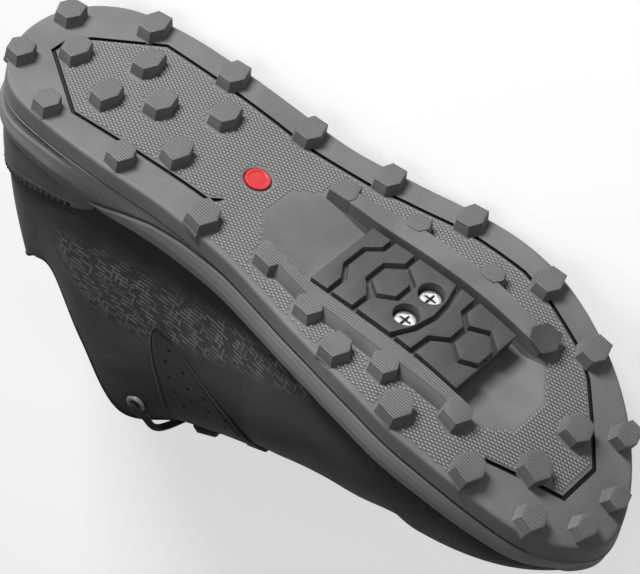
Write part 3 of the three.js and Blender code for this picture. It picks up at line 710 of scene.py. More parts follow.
def bevel(obj, width_mm, sharper_than):
    limit = {"limit_method": "ANGLE", "angle_limit": math.radians(sharper_than)}
    return apply(obj, "BEVEL", width=width_mm / 1000, segments=2, **limit)


def cut(obj, *cutters):
    for cutter in cutters:
        apply(obj, "BOOLEAN", operation="DIFFERENCE", solver="MANIFOLD", object=cutter)
        bpy.data.objects.remove(cutter)
    return obj


def keep(obj, material, nodes=(), sharp=40):
    """Finishes a piece: its points' places in the shoe, its shading, material and place in the frame."""
    mesh = obj.data
    co = np.zeros(len(mesh.vertices) * 3, np.float32)
    mesh.vertices.foreach_get("co", co)
    layer = mesh.attributes.get("shoe") or mesh.attributes.new("shoe", "FLOAT_VECTOR", "POINT")
    layer.data.foreach_set("vector", stand(co.reshape(-1, 3)).astype(np.float32).ravel())
    mesh.shade_smooth()
    mesh.set_sharp_from_angle(angle=math.radians(sharp))
    mesh.materials.clear()
    mesh.materials.append(material)
    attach(obj, "root")
    if nodes:
        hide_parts(*nodes)
    return obj


def shell(name, outer, inner, marks=None):
    """Solid between two grids of points; marks are for the outer grid and repeat on the inner one."""
    n, m = outer.shape[:2]
    points = np.concatenate([outer.reshape(-1, 3), inner.reshape(-1, 3)])
    count = n * m
    front = grid_faces(n, m)
    faces = front + [tuple(count + i for i in reversed(f)) for f in front]
    for k in (0, m - 1):
        for i in range(n - 1):
            a, b = i * m + k, (i + 1) * m + k
            faces.append((a, count + a, count + b, b) if k == 0 else (a, b, count + b, count + a))
    for i in (0, n - 1):
        for k in range(m - 1):
            a, b = i * m + k, i * m + k + 1
            faces.append((a, b, count + b, count + a) if i == 0 else (a, count + a, count + b, b))
    both = {}
    for key, values in (marks or {}).items():
        both[key] = np.concatenate([values.reshape(count, -1)] * 2).squeeze()
    obj = make(name, points, faces, both)
    outside(obj)
    return obj


def skin_marks(points):
    """Millimetres along the surface of a grid: round the shoe, up the side."""
    step_u = np.linalg.norm(np.diff(points, axis=0, prepend=points[:1]), axis=-1)
    step_v = np.linalg.norm(np.diff(points, axis=1, prepend=points[:, :1]), axis=-1)
    middle = points.shape[1] // 3
    s = np.cumsum(step_u[:, middle])[:, None] + np.zeros(points.shape[:2])
    t = np.cumsum(step_v, axis=1)
    return np.stack([s, t, np.zeros_like(s)], -1)


def loft(name, sections, marks=None):
    """Closed solid through rings of equal count, ends closed by one face each."""
    rings = np.array(sections, float)
    n, m = rings.shape[:2]
    faces = []
    for i in range(n - 1):
        for k in range(m):
            j = (k + 1) % m
            faces.append((i * m + k, i * m + j, (i + 1) * m + j, (i + 1) * m + k))
    faces.append(tuple(range(m))[::-1])
    faces.append(tuple((n - 1) * m + k for k in range(m)))
    obj = make(name, rings.reshape(-1, 3), faces, marks)
    outside(obj)
    return obj


def join(name, pieces):
    """Several meshes as one object."""
    bm = bmesh.new()
    for obj in pieces:
        bm.from_mesh(obj.data)
    mesh = bpy.data.meshes.new(name)
    bm.to_mesh(mesh)
    bm.free()
    for obj in pieces:
        bpy.data.objects.remove(obj)
    obj = bpy.data.objects.new(name, mesh)
    bpy.context.scene.collection.objects.link(obj)
    return obj


def unit(v):
    v = np.asarray(v, float)
    return v / np.linalg.norm(v, axis=-1, keepdims=True)


def curve_through(points, step):
    """Catmull-Rom line through points, sampled about every step."""
    p = np.array(points, float)
    p = np.concatenate([[2 * p[0] - p[1]], p, [2 * p[-1] - p[-2]]])
    out = []
    for a, b, c, d in zip(p, p[1:], p[2:], p[3:]):
        n = max(1, int(np.linalg.norm(c - b) / step))
        t = (np.arange(n) / n)[:, None]
        out.append(
            0.5 * (2 * b + (c - a) * t + (2 * a - 5 * b + 4 * c - d) * t**2 + (3 * b - a - 3 * c + d) * t**3)
        )
    return np.concatenate(out + [p[-2][None]])


def tube(name, path, half, thick, up, sides=12, marks=True):
    """Oval tube along a path; up is the direction of its thinner way, one for the path or one a point."""
    path = np.array(path, float)
    t = unit(np.gradient(path, axis=0))
    up = np.broadcast_to(np.asarray(up, float), path.shape)
    flat = unit(np.cross(t, up))
    rise = np.cross(flat, t)
    w = 2 * np.pi * (np.arange(sides) + 0.5) / sides
    rings = (
        path[:, None]
        + flat[:, None] * (np.cos(w) * half)[None, :, None]
        + rise[:, None] * (np.sin(w) * thick)[None, :, None]
    )
    run = np.concatenate([[0], np.cumsum(np.linalg.norm(np.diff(path, axis=0), axis=1))])
    skin = np.stack([np.repeat(run, sides), np.tile(w, len(path)), np.zeros(len(path) * sides)], -1)
    return loft(name, rings, {"skin": skin} if marks else None)


def inside(points, polygon):
    """Which plan points lie in a polygon."""
    x, y = points[:, 0][:, None], points[:, 1][:, None]
    a, b = polygon, np.roll(polygon, -1, axis=0)
    crosses = (a[:, 1] > y) != (b[:, 1] > y)
    at = (b[:, 0] - a[:, 0]) * (y - a[:, 1]) / np.where(b[:, 1] == a[:, 1], 1e-9, b[:, 1] - a[:, 1]) + a[:, 0]
    return (np.sum(crosses & (x < at), axis=1) % 2) == 1


def far_from(points, path, closed=False):
    """Distance of plan points from a path."""
    a = np.array(path, float)
    b = np.roll(a, -1, axis=0) if closed else a[1:]
    a = a if closed else a[:-1]
    best = np.full(len(points), 1e9)
    for p, q in zip(a, b):
        d = q - p
        t = np.clip(((points - p) @ d) / max(1e-9, d @ d), 0, 1)
        best = np.minimum(best, np.linalg.norm(points - p - t[:, None] * d, axis=1))
    return best


def ribbon(path, half):
    """Outline of a band along an open plan path, mitred at its corners."""
    p = np.array(path, float)
    t = unit(np.diff(p, axis=0))
    before = np.concatenate([t[:1], t])
    after = np.concatenate([t, t[-1:]])
    m = unit(before + after)
    n = np.stack([-m[:, 1], m[:, 0]], 1)
    reach = half / np.maximum(0.5, n[:, 1] * before[:, 0] - n[:, 0] * before[:, 1])
    end = np.zeros((len(p), 1))
    return np.concatenate([p + n * reach[:, None] + end, (p - n * reach[:, None])[::-1]])


def dense(loop, step=2.0):
    """A closed plan outline with a point about every step."""
    out = []
    for a, b in zip(loop, np.roll(loop, -1, axis=0)):
        n = max(1, int(np.linalg.norm(b - a) / step))
        out.append(a + (b - a) * (np.arange(n) / n)[:, None])
    return np.concatenate(out)


def grown(loop, out):
    """A closed plan outline moved outwards."""
    area = np.sum(loop[:, 0] * np.roll(loop[:, 1], -1) - np.roll(loop[:, 0], -1) * loop[:, 1])
    turn = 1 if area > 0 else -1
    t = unit(np.roll(loop, -1, axis=0) - loop)
    n = np.stack([t[:, 1], -t[:, 0]], 1) * turn
    m = unit(n + np.roll(n, 1, axis=0))
    reach = out / np.maximum(0.5, np.sum(m * n, axis=1))
    return loop + m * reach[:, None]


def clipped(poly, at, normal):
    """Part of a plan polygon on the side that normal points to."""
    out = []
    for a, b in zip(poly, np.roll(poly, -1, axis=0)):
        da, db = (a - at) @ normal, (b - at) @ normal
        if da >= 0:
            out.append(a)
        if da * db < 0:
            out.append(a + (b - a) * da / (da - db))
    return np.array(out)


# Outsole
mouth_out, mouth_in = plan(MOUTH_OUT), plan(MOUTH_IN)
mouth = np.concatenate([mouth_out, mouth_in[::-1]])
groove = plan(GROOVE)


def mouth_end(y, front):
    """Where the pocket's mouth begins or ends along the shoe, at a height across it."""
    ends = [mouth_out[-2], mouth_out[-1], mouth_in[-1], mouth_in[-2]] if front else [
        mouth_out[1], mouth_out[0], mouth_in[0], mouth_in[1]]
    ends = np.array(ends)
    return np.interp(y, ends[:, 1], ends[:, 0])


def floor_end(y, front):
    """Crease between a ramp and the pocket's floor: a shallow arc behind, straight in front."""
    if front:
        return np.full(np.shape(y), 0.783 * LONG)
    return (0.512 + 0.012 * ((np.asarray(y) / WIDE + 0.02) / 0.2) ** 2) * LONG


def pocket_height(points):
    """Ramps and floor of the pocket."""
    x, y = points[:, 0], points[:, 1]
    rear, front = mouth_end(y, False), mouth_end(y, True)
    down = (x - rear) / (floor_end(y, False) - rear)
    up = (front - x) / (front - floor_end(y, True))
    return -POCKET * np.clip(np.minimum(down, up), 0, 1)


def bottom_face():
    """Tread base with its groove, pocket and badge recess, as plan points with a height, and triangles."""
    around_u = np.arange(420) / 420
    outline = rim(around_u, np.full(420, -1.6))
    loops = [(outline, 0.0)]
    for half, h in ((0.85, 0.0), (0.72, -0.1), (0.62, -1.15), (0.5, -1.2)):
        loops.append((dense(ribbon(groove, half)), h))
    loops.append((grown(dense(mouth), 0.3), 0.0))
    walls = grown(dense(mouth), -0.3)
    loops.append((walls, pocket_height(walls)))
    ring_w = 2 * np.pi * np.arange(48) / 48
    circle = np.stack([np.cos(ring_w), np.sin(ring_w)], 1)
    for r, h in ((BADGE_R + 0.8, 0.0), (BADGE_R + 0.5, -0.12), (BADGE_R + 0.35, -1.1)):
        loops.append((circle * r + BADGE, h))
    points, heights, edges = [], [], []
    for loop, h in loops:
        start = len(points)
        points.extend(loop.tolist())
        heights.extend(np.broadcast_to(h, len(loop)).tolist())
        edges.extend((start + i, start + (i + 1) % len(loop)) for i in range(len(loop)))
    creases = []
    for front in (False, True):
        y = np.linspace(-0.185, 0.172, 24) * WIDE
        creases.append(np.column_stack([floor_end(y, front), y]))
    for y in (mouth_out[0, 1], mouth_in[0, 1]):
        x = np.linspace(mouth_out[0, 0] + 1, 0.51 * LONG, 12)
        creases.append(np.column_stack([x, np.full(12, y)]))
    for line in creases:
        start = len(points)
        points.extend(line.tolist())
        heights.extend(pocket_height(line).tolist())
        edges.extend((start + i, start + i + 1) for i in range(len(line) - 1))
    xs, ys = np.meshgrid(np.arange(2, 283, 2.5), np.arange(-60, 60, 2.5))
    grid = np.stack([xs.ravel(), ys.ravel()], 1)
    clear = inside(grid, outline) & (far_from(grid, outline, True) > 1.2) & (far_from(grid, groove) > 1.6)
    clear &= (np.linalg.norm(grid - BADGE, axis=1) > BADGE_R + 1.5) & ~inside(grid, grown(mouth, 1.2))
    within = inside(grid, grown(mouth, -1.2))
    for line in creases:
        within &= far_from(grid, line) > 0.8
    free = grid[clear | within]
    heights.extend(np.where(inside(free, mouth), pocket_height(free), 0.0).tolist())
    points.extend(free.tolist())
    found, _, faces, origin, _, _ = geometry.delaunay_2d_cdt([Vector(p) for p in points], edges, [], 0, 1e-4)
    flat = np.array([tuple(p) for p in found])
    tree = KDTree(len(points))
    for i, p in enumerate(points):
        tree.insert((*p, 0), i)
    tree.balance()
    h = np.array([heights[o[0]] if o else heights[tree.find((*p, 0))[1]] for p, o in zip(flat, origin)])
    faces = np.array([f for f in faces if len(f) == 3])
    middle = flat[faces].mean(axis=1)
    faces = faces[inside(middle, outline)]
    return flat, h, faces


def outsole_mesh():
    flat, h, faces = bottom_face()
    base = below(flat[:, 0], flat[:, 1], h)
    # Painted shade: the groove's floor is marked so the rubber is painted near black there
    dark = smooth(1.0, 0.8, far_from(flat, groove)) * (h < -0.05)
    n = 420
    u = np.arange(n) / n
    x = edge(u)[:, 0]
    toe = smooth(0.066, 0.03, np.abs(u - 0.5))
    rings = []
    for turn in np.linspace(0, np.pi / 2, 5)[1:]:
        p = rim(u, np.full(n, -1.6 + 1.4 * np.sin(turn)))
        rings.append(np.column_stack([p, rock(p[:, 0]) + 1.2 * (1 - np.cos(turn))]))
    top = PLATE + toe * (stack(x) - PLATE + 2.2)
    for share in (0.33, 0.66, 0.93):
        p = rim(u, np.full(n, -0.2 + 0.4 * share) - toe * 1.6 * share**2)
        rings.append(np.column_stack([p, rock(x) + 1.2 + (top - 1.2) * share]))
    for out, drop in ((0.0, 0.05), (-0.35, 0.0)):
        p = rim(u, 0.2 + out - toe * 1.7)
        rings.append(np.column_stack([p, rock(x) + top - drop]))
    p = rim(u, np.full(n, -1.3) - toe * 0.6)
    rings.append(np.column_stack([p, rock(x) + top - 0.25]))
    p = rim(u, np.full(n, -1.35) - toe * 0.6)
    rings.append(np.column_stack([p, rock(x) + PLATE]))
    points = [base]
    count = len(base)
    all_faces = [tuple(f) for f in faces]
    # The wall starts from the plan's own points on the outline
    tree = KDTree(count)
    for i, q in enumerate(flat):
        tree.insert((*q, 0), i)
    tree.balance()
    previous = [tree.find((*q, 0))[1] for q in rim(u, np.full(n, -1.6))]
    for ring in rings:
        ids = list(range(count, count + n))
        count += n
        points.append(ring)
        for i in range(n):
            j = (i + 1) % n
            all_faces.append((previous[i], previous[j], ids[j], ids[i]))
        previous = ids
    all_faces += closed_across(previous)
    points = np.concatenate(points)
    marks = np.zeros(len(points))
    marks[: len(dark)] = dark
    obj = make("outsole_base", points, all_faces, {"dark": marks})
    outside(obj)
    return obj


def hex_outline(row, grow=0.0):
    x, y, hx, hy = row[0] * LONG, row[1] * WIDE, row[2], row[3]
    turn = -1 if y < 0 else 1
    tip = np.array(LUG_TIP)
    return np.stack([tip[:, 0] * (hx + grow), tip[:, 1] * (hy + grow) * turn], 1), x, y


def pocket_side(x, inner):
    side_line = mouth_in if inner else mouth_out
    return np.interp(x, side_line[:, 0], side_line[:, 1])


def lug_mesh(row):
    rings = []
    for h, grow in LUG_RINGS:
        shape, x, y = hex_outline(row, grow)
        a = slope(x)
        foot = x - LUG * math.sin(a)
        near_pocket = mouth_out[0, 0] < x < mouth_out[-1, 0] - 8 and abs(y) < 0.26 * WIDE
        if near_pocket:
            inner = y > 0
            p, q = (np.array([x + dx, pocket_side(x + dx, inner)]) for dx in (-6, 6))
            along = unit(q - p)
            normal = np.array([-along[1], along[0]]) * (1 if inner else -1)
            back = 0.3 if h >= LUG - 0.1 else 0.0
            shape = clipped(shape + (x, y), p + normal * (0.02 + back), normal) - (x, y)
        lx, ly = shape[:, 0], shape[:, 1]
        rings.append(
            np.column_stack([
                foot + np.cos(a) * lx + np.sin(a) * h,
                y + ly,
                rock(foot) + np.sin(a) * lx - np.cos(a) * h,
            ])
        )
    count = min(len(r) for r in rings)
    if any(len(r) != count for r in rings):
        rings = [r for r in rings if len(r) == len(rings[3])]
    return loft("lug", rings)


def rail_mesh(rail, inner):
    path = plan(rail["path"])
    ends = path[:, 0]
    xs = np.linspace(ends[0] - 1, ends[-1] + 1, 46)
    middle = np.interp(xs, path[:, 0], path[:, 1])
    turn = 1 if inner else -1
    wall = pocket_side(xs, inner) + turn * 0.03
    top = LUG - (0 if inner else 0.4)
    sections = []
    for x, y, w in zip(xs, middle, wall):
        outer_low = y + turn * rail["low"]
        outer_high = y + turn * rail["high"]
        shape = [
            (w, -1.5),
            (w, top - NIP),
            (w + turn * NIP, top),
            (outer_high - turn * NIP, top),
            (outer_high, top - NIP),
            (outer_low, 0.2),
            (outer_low + turn * 0.3, -1.5),
        ]
        sections.append([below(x, yy, h) for yy, h in shape])
    return loft("rail", sections)


def weave_mesh():
    """Raised lozenges of the tread panel."""
    u = np.arange(300) / 300
    medial = rim(u, np.full(300, -2.2))
    run = medial[(medial[:, 1] > 0) & (medial[:, 0] > groove[0, 0]) & (medial[:, 0] < groove[-1, 0])]
    run = run[np.argsort(run[:, 0])]
    panel = np.concatenate([groove, run[::-1]])
    i, j = np.meshgrid(np.arange(0, 115), np.arange(-80, 81))
    x = (i + 0.5 * (j % 2)) * WEAVE_LONG
    y = j * WEAVE_WIDE / 2
    at = np.stack([x.ravel(), y.ravel()], 1)
    ok = inside(at, panel) & (far_from(at, groove) > 1.75) & ~inside(at, grown(mouth, 1.1))
    ok &= np.linalg.norm(at - BADGE, axis=1) > BADGE_R + 1.5
    outline = rim(u, np.full(300, -1.6))
    ok &= far_from(at, outline, True) > 1.2
    for row in LUGS:
        shape, lx, ly = hex_outline(row, 1.9)
        near = np.abs(at - (lx, ly)).max(axis=1) < 12
        ok[near] &= ~inside(at[near], shape + (lx - 0.4, ly))
    for rail in RAILS:
        ok &= far_from(at, plan(rail["path"])) > rail["low"] + 0.7
    at = at[ok]
    base = np.array([(-0.49, 0), (0, -0.49), (0.49, 0), (0, 0.49)]) * (WEAVE_LONG, WEAVE_WIDE)
    rings = [(base, -0.08), (base * 0.92, 0.08), (base * 0.5, 0.5)]
    points = np.concatenate([
        below((at[:, None, 0] + shape[None, :, 0]), (at[:, None, 1] + shape[None, :, 1]), h)
        for shape, h in rings
    ], axis=1)
    faces = []
    for b in range(len(at)):
        o = b * 12
        for level in (0, 4):
            for k in range(4):
                n = (k + 1) % 4
                faces.append((o + level + k, o + level + n, o + level + 4 + n, o + level + 4 + k))
        faces.append((o + 8, o + 9, o + 10, o + 11))
        faces.append((o + 3, o + 2, o + 1, o))
    return make("tread_weave", points.reshape(-1, 3), faces)


# Midsole
def midsole_mesh():
    n = 480
    u = np.arange(n) / n
    x = edge(u)[:, 0]
    inner = u > 0.5
    rows = np.where(inner, (1 - u), u) * 2 * ROWS
    low = rock(x) + PLATE + GAP
    high = rock(x) + stack(x)
    shares = np.concatenate([[0.0, 0.02], np.linspace(0.05, 0.93, 34), [0.965, 0.99, 1.0]])
    line = seam_height(x)
    rings, marks = [], []
    p = rim(u, flare(x) - 0.5)
    for share in shares:
        z = low + (high - low) * share
        h = z - rock(x)
        swell = np.interp(share, [0, 0.05, 0.35, 0.6, 0.85, 1], [0.0, 0.25, 0.7, 0.75, 0.45, 0.0])
        edge_round = 0.9 * smooth(0.9, 1.0, share) ** 2 + 0.5 * smooth(0.05, 0.0, share)
        groove_cut = 0.75 * np.exp(-(((h - line) / 0.42) ** 2)) * smooth(60, 74, x)
        step_in = 0.35 * smooth(-0.3, 0.3, line - h) * smooth(60, 74, x)
        heel = heel_sculpt(x, h)
        out = flare(x) * np.minimum(1, share * 1.4 + 0.1) + swell + heel
        p = rim(u, out - edge_round - groove_cut - step_in)
        rings.append(np.column_stack([p, z]))
        marks.append(np.column_stack([x, h, rows]))
    for out, depth in ((-CUP + 0.3, 0.0), (-CUP, 0.25), (-CUP, CUP)):
        p = rim(u, flare(x) + out)
        rings.append(np.column_stack([p, high - depth]))
        marks.append(np.column_stack([x, stack(x), rows]))
    points = np.concatenate(rings)
    count = len(rings)
    faces = []
    for r in range(count - 1):
        for i in range(n):
            j = (i + 1) % n
            faces.append((r * n + i, r * n + j, (r + 1) * n + j, (r + 1) * n + i))
    for r in (0, count - 1):
        faces += closed_across(range(r * n, (r + 1) * n))
    obj = make("midsole_shell", points, faces, {"skin": np.concatenate(marks)})
    outside(obj)
    return obj


def seam_height(x):
    """Groove between the ribbed plate and the smooth foam, over the tread base."""
    return np.interp(x, *np.transpose(SEAM))


def heel_lens(x, h, before, after):
    """Textured lens on the heel's side, with an edge that starts before its line and ends after it."""
    low, high = 8.0 + 0.02 * x, 13.6 - 0.055 * x
    return smooth(low - before, low + after, h) * smooth(high + before, high - after, h)


def heel_sculpt(x, h):
    """Relief of the heel's side: a recessed textured lens, a bulge under it and a crease over it."""
    fade = smooth(62, 40, x)
    lens = heel_lens(x, h, 0.5, 0.3)
    bulge = np.exp(-(((h - 16.6) / 2.4) ** 2))
    crease = np.exp(-(((h - 21.2) / 0.9) ** 2))
    return fade * (-0.75 * lens + 0.8 * bulge - 0.6 * crease)


def insole_mesh():
    n = 160
    u = np.arange(n) / n
    x = edge(u)[:, 0]
    rings = []
    for inset, h in ((1.0, 0.6), (0.7, 1.2), (0.6, 2.8), (0.9, 3.3)):
        p = rim(u, flare(x) - CUP - GAP - 0.35 - WALL - inset)
        rings.append(np.column_stack([p, rock(x) + stack(x) - CUP + h]))
    outer = np.stack(rings, 1)
    points = outer.reshape(-1, 3)
    m = len(rings)
    faces = grid_faces(n, m, True)
    across = 10
    extra = []
    ids = {}
    for i in range(1, n // 2):
        a, b = outer[i, -1], outer[n - i, -1]
        for k in range(1, across):
            f = k / across
            p = a + (b - a) * f
            bow = 4 * f * (1 - f)
            p[2] += (-1.1 if p[0] < 0.3 * LONG else -0.5) * bow
            ids[i, k] = len(points) + len(extra)
            extra.append(p)
        ids[i, 0], ids[i, across] = i * m + m - 1, (n - i) * m + m - 1
    for k in range(across + 1):
        ids[0, k] = m - 1
        ids[n // 2, k] = (n // 2) * m + m - 1
    for i in range(n // 2):
        for k in range(across):
            faces += quad_or_triangle([ids[i, k], ids[i + 1, k], ids[i + 1, k + 1], ids[i, k + 1]])
    faces += closed_across(range(0, n * m, m))
    obj = make("footbed", np.concatenate([points, np.array(extra)]), faces)
    outside(obj)
    return obj


# Creases on the upper: row and height of each end, side, half width and depth (a negative depth is a ridge)
CREASES = [
    {"start": (4.7, 0.06), "end": (5.1, 0.42), "width": 9.0, "depth": 1.1},
    {"start": (5.6, 0.05), "end": (7.4, 0.12), "width": 7.0, "depth": 0.7},
    {"start": (5.1, 0.66), "end": (6.1, 0.5), "width": 5.5, "depth": 0.7},
    {"start": (5.6, 0.8), "end": (6.3, 0.62), "width": 4.5, "depth": -0.5},
    {"start": (3.3, 0.42), "end": (4.6, 0.36), "width": 1.0, "depth": 0.35},
    {"start": (9.4, 0.75), "end": (10.3, 0.4), "width": 6.0, "depth": 0.5},
    {"start": (8.6, 0.85), "end": (8.2, 0.5), "width": 5.0, "depth": 0.4},
]


def crease_depth(points):
    """Depth of the creases at points on the upper, on both sides."""
    total = np.zeros(points.shape[:-1])
    for crease in CREASES:
        rows = np.linspace(crease["start"][0], crease["end"][0], 14)
        heights = np.linspace(crease["start"][1], crease["end"][1], 14)
        for inner in (True, False):
            line = side(row_u(rows, inner), heights)
            near = np.full(points.shape[:-1], 1e9)
            taper = np.zeros(points.shape[:-1])
            for k, p in enumerate(line):
                d = np.linalg.norm(points - p, axis=-1)
                closer = d < near
                near = np.where(closer, d, near)
                taper = np.where(closer, math.sin(math.pi * (k + 1) / 15) ** 0.5, taper)
            total += crease["depth"] * taper * np.exp(-((near / crease["width"]) ** 2))
    return total


def upper_mesh():
    n, levels = 400, 56
    u = np.arange(n) / n
    v = np.linspace(0, 1, levels)
    uu, vv = np.meshgrid(u, v, indexing="ij")
    outer = side(uu, vv)
    crease = crease_depth(outer) * smooth(0, 0.06, vv) * smooth(1, 0.93, vv)
    outer = outer - side_normal(uu, vv) * crease[..., None]
    inner = lifted(uu, vv, np.full(uu.shape, -WALL))
    x = edge(u)[:, 0]
    foot = []
    for inset, lift in ((0, GAP), (WALL, GAP), (WALL, CUP + 0.4)):
        p = rim(u, flare(x) - CUP - GAP - 0.35 - inset)
        foot.append(np.column_stack([p, rock(x) + stack(x) - CUP + lift]))
    top = side(u, np.ones(n))
    normal = side_normal(u, np.ones(n))
    lip = top - normal * (WALL / 2) + (top - side(u, np.full(n, 0.985))) * 0.9
    lining = inner[:, ::-1][:, :-1]
    rings = [foot[0][:, None], outer, lip[:, None], lining, foot[2][:, None], foot[1][:, None]]
    grid = np.concatenate(rings, axis=1)
    count = grid.shape[1]
    marks = np.zeros((n, count, 3))
    skin = skin_marks(outer)
    marks[:, 1 : levels + 1] = skin
    marks[:, levels + 1 :] = skin[:, -1:]
    marks[:, levels + 1 :, 2] = 1
    row = np.minimum(uu, 1 - uu) * 2 * ROWS
    chart = np.zeros((n, count, 3))
    chart[..., 0] = row[:, :1]
    chart[:, 1 : levels + 1, 1] = vv
    chart[:, levels + 1 :, 1] = 1
    faces = []
    for i in range(n):
        j = (i + 1) % n
        for k in range(count):
            m = (k + 1) % count
            faces.append((i * count + k, j * count + k, j * count + m, i * count + m))
    both = {"skin": marks.reshape(-1, 3), "chart": chart.reshape(-1, 3)}
    obj = make("knit_upper", grid.reshape(-1, 3), faces, both)
    outside(obj)
    return obj


def eyelet_frame(inner):
    u = row_u(EYELET[0], inner)
    v = EYELET[1]
    n = side_normal(u, v)
    t = unit(side(u + 0.004, v) - side(u - 0.004, v))
    return side(u, v), n, t, np.cross(n, t)


def turned(name, centre, n, t, b, profile, sides=40):
    """Closed turned piece: a loop of radius and height about an axis."""
    w = 2 * np.pi * np.arange(sides) / sides
    rings = []
    for r, h in profile:
        rings.append(centre + n * h + t[None] * (r * np.cos(w))[:, None] + b[None] * (r * np.sin(w))[:, None])
    grid = np.stack(rings, 1)
    m = len(profile)
    faces = []
    for i in range(sides):
        j = (i + 1) % sides
        for k in range(m):
            q = (k + 1) % m
            faces.append((i * m + k, j * m + k, j * m + q, i * m + q))
    obj = make(name, grid.reshape(-1, 3), faces)
    outside(obj)
    return obj


def spun(name, axes, profile, sides=48):
    """Solid turned about an axis: rows of radius and height, both ends closed."""
    centre, n, t, b = axes
    w = 2 * np.pi * np.arange(sides) / sides
    circle = t[None] * np.cos(w)[:, None] + b[None] * np.sin(w)[:, None]
    return loft(name, [centre + n * h + circle * r for r, h in profile])


# Overlays
def counter_shape(a, level):
    """Height of the counter's top edge, and how far it stands off, from one end to the other."""
    return 0.34 - 0.06 * a**2 - 0.22 * a**6, 2.9 - 1.4 * level - 0.9 * np.abs(a) ** 3


def counter_mesh():
    lanes, steps = 90, 22
    a, b = np.meshgrid(np.linspace(-1, 1, lanes), np.linspace(0, 1, steps), indexing="ij")
    top, lift = counter_shape(a, b)
    u, v = a * 9 / 60, top * b
    low = GAP + 0.05
    rounding = smooth(0.93, 1, b) * 0.8 + smooth(0.07, 0, b) * 0.3
    lift = lift - (lift - low - 0.15) * rounding - 0.5 * smooth(0.96, 1, np.abs(a))
    ridge = -0.25 * np.exp(-(((b - 0.66) / 0.035) ** 2))
    outer = lifted(u, v, lift + ridge)
    chart = np.stack([a * 9 / 60 * 2 * ROWS, b, a], -1)
    return shell("heel_counter_cover", outer, lifted(u, v, np.full(u.shape, low)), {"skin": chart})


def counter_stitches():
    """Two rows of dark stitches near the counter's top edge."""
    pieces = []
    for level in STITCH_LEVELS:
        a = np.linspace(-0.93, 0.93, 400)
        top, lift = counter_shape(a, level)
        line = lifted(a * 9 / 60, top * level, lift - 0.02)
        normal = side_normal(a * 9 / 60, top * level)
        run = np.concatenate([[0], np.cumsum(np.linalg.norm(np.diff(line, axis=0), axis=1))])
        for start in np.arange(1, run[-1] - 2.5, 3.1):
            at = np.linspace(start, start + 2.1, 5)
            p = np.stack([np.interp(at, run, line[:, c]) for c in range(3)], 1)
            up = unit(np.stack([np.interp(at, run, normal[:, c]) for c in range(3)], 1))
            p += up * (0.12 * np.sin(np.linspace(0, np.pi, 5)) - 0.05)[:, None]
            pieces.append(tube("stitch", p, 0.36, 0.24, up, 8, False))
    return join("counter_stitches", pieces)


def toe_mesh():
    start = 20 / 60
    lanes, steps = 120, 44
    u1 = start + (1 - 2 * start) * np.linspace(0, 1, lanes)
    low = np.full(lanes, 0.0)
    high = np.full(lanes, 0.97)
    for _ in range(26):
        mid = (low + high) / 2
        back = LONG * (0.717 + 0.113 * np.minimum(0.6, mid))
        ahead = side(u1, mid)[:, 0] > back
        low = np.where(ahead, mid, low)
        high = np.where(ahead, high, mid)
    limit = np.maximum(0.05, low)
    b = np.linspace(0, 1, steps)
    u, share = np.meshgrid(u1, b, indexing="ij")
    v = limit[:, None] * share
    lift = 2.1 - 0.5 * share
    base = GAP + 0.5
    ends = smooth(0.0, 0.02, (u - start) / (1 - 2 * start)) * smooth(1.0, 0.98, (u - start) / (1 - 2 * start))
    lift = base + (lift - base) * (0.25 + 0.75 * smooth(1.0, 0.93, share) * ends)
    outer = lifted(u, v, lift)
    marks = skin_marks(outer)
    return shell("toe_guard", outer, lifted(u, v, np.full(u.shape, base)), {"skin": marks})


# Perforated panel: height, rear and front row
PANEL = [
    (0.36, 6.32, 6.42),
    (0.4, 6.24, 6.72),
    (0.47, 6.26, 7.2),
    (0.56, 6.4, 7.75),
    (0.66, 6.58, 8.2),
    (0.78, 6.72, 8.45),
    (0.92, 6.82, 8.55),
]
# Pinholes in it: share across from rear to front, height
PINHOLES = [
    (0.52, 0.435),
    (0.3, 0.5),
    (0.62, 0.5),
    (0.26, 0.575),
    (0.52, 0.575),
    (0.78, 0.575),
    (0.24, 0.65),
    (0.46, 0.65),
    (0.68, 0.65),
    (0.9, 0.65),
    (0.3, 0.725),
    (0.56, 0.725),
    (0.8, 0.725),
    (0.96, 0.725),
]


def panel_mesh(inner):
    lanes, steps = 84, 110
    a, b = np.meshgrid(np.linspace(0, 1, lanes), np.linspace(0, 1, steps), indexing="ij")
    rows = np.array(PANEL)
    v = rows[0, 0] + (rows[-1, 0] - rows[0, 0]) * b
    rear = hermite(rows, v, 1)
    front = hermite(rows, v, 2)
    u = row_u(rear + (front - rear) * a, inner)
    base = side(u, v)
    pits = np.full(u.shape, 9.0)
    for share, height in PINHOLES:
        r = float(hermite(rows, height, 1))
        f = float(hermite(rows, height, 2))
        p = side(row_u(r + (f - r) * share, inner), height)
        pits = np.minimum(pits, np.linalg.norm(base - p, axis=-1))
    pit = smooth(0.85, 0.45, pits)
    rim_in = np.minimum(np.minimum(a, 1 - a) * 30, np.minimum(b * 40, 9))
    trough = np.exp(-(((rim_in - 2.2) / 0.75) ** 2)) * smooth(1.0, 0.9, b)
    low = GAP + 0.3
    lift = 1.3 - 0.9 * smooth(1.3, 0.0, rim_in) * 0.7 - 0.35 * trough - 0.5 * pit
    # pit and trough also say where panel_finish paints shade
    marks = {"skin": skin_marks(base), "pit": pit, "trough": trough}
    name = "side_panel_in" if inner else "side_panel_out"
    return shell(name, lifted(u, v, lift), lifted(u, v, np.full(u.shape, low)), marks)


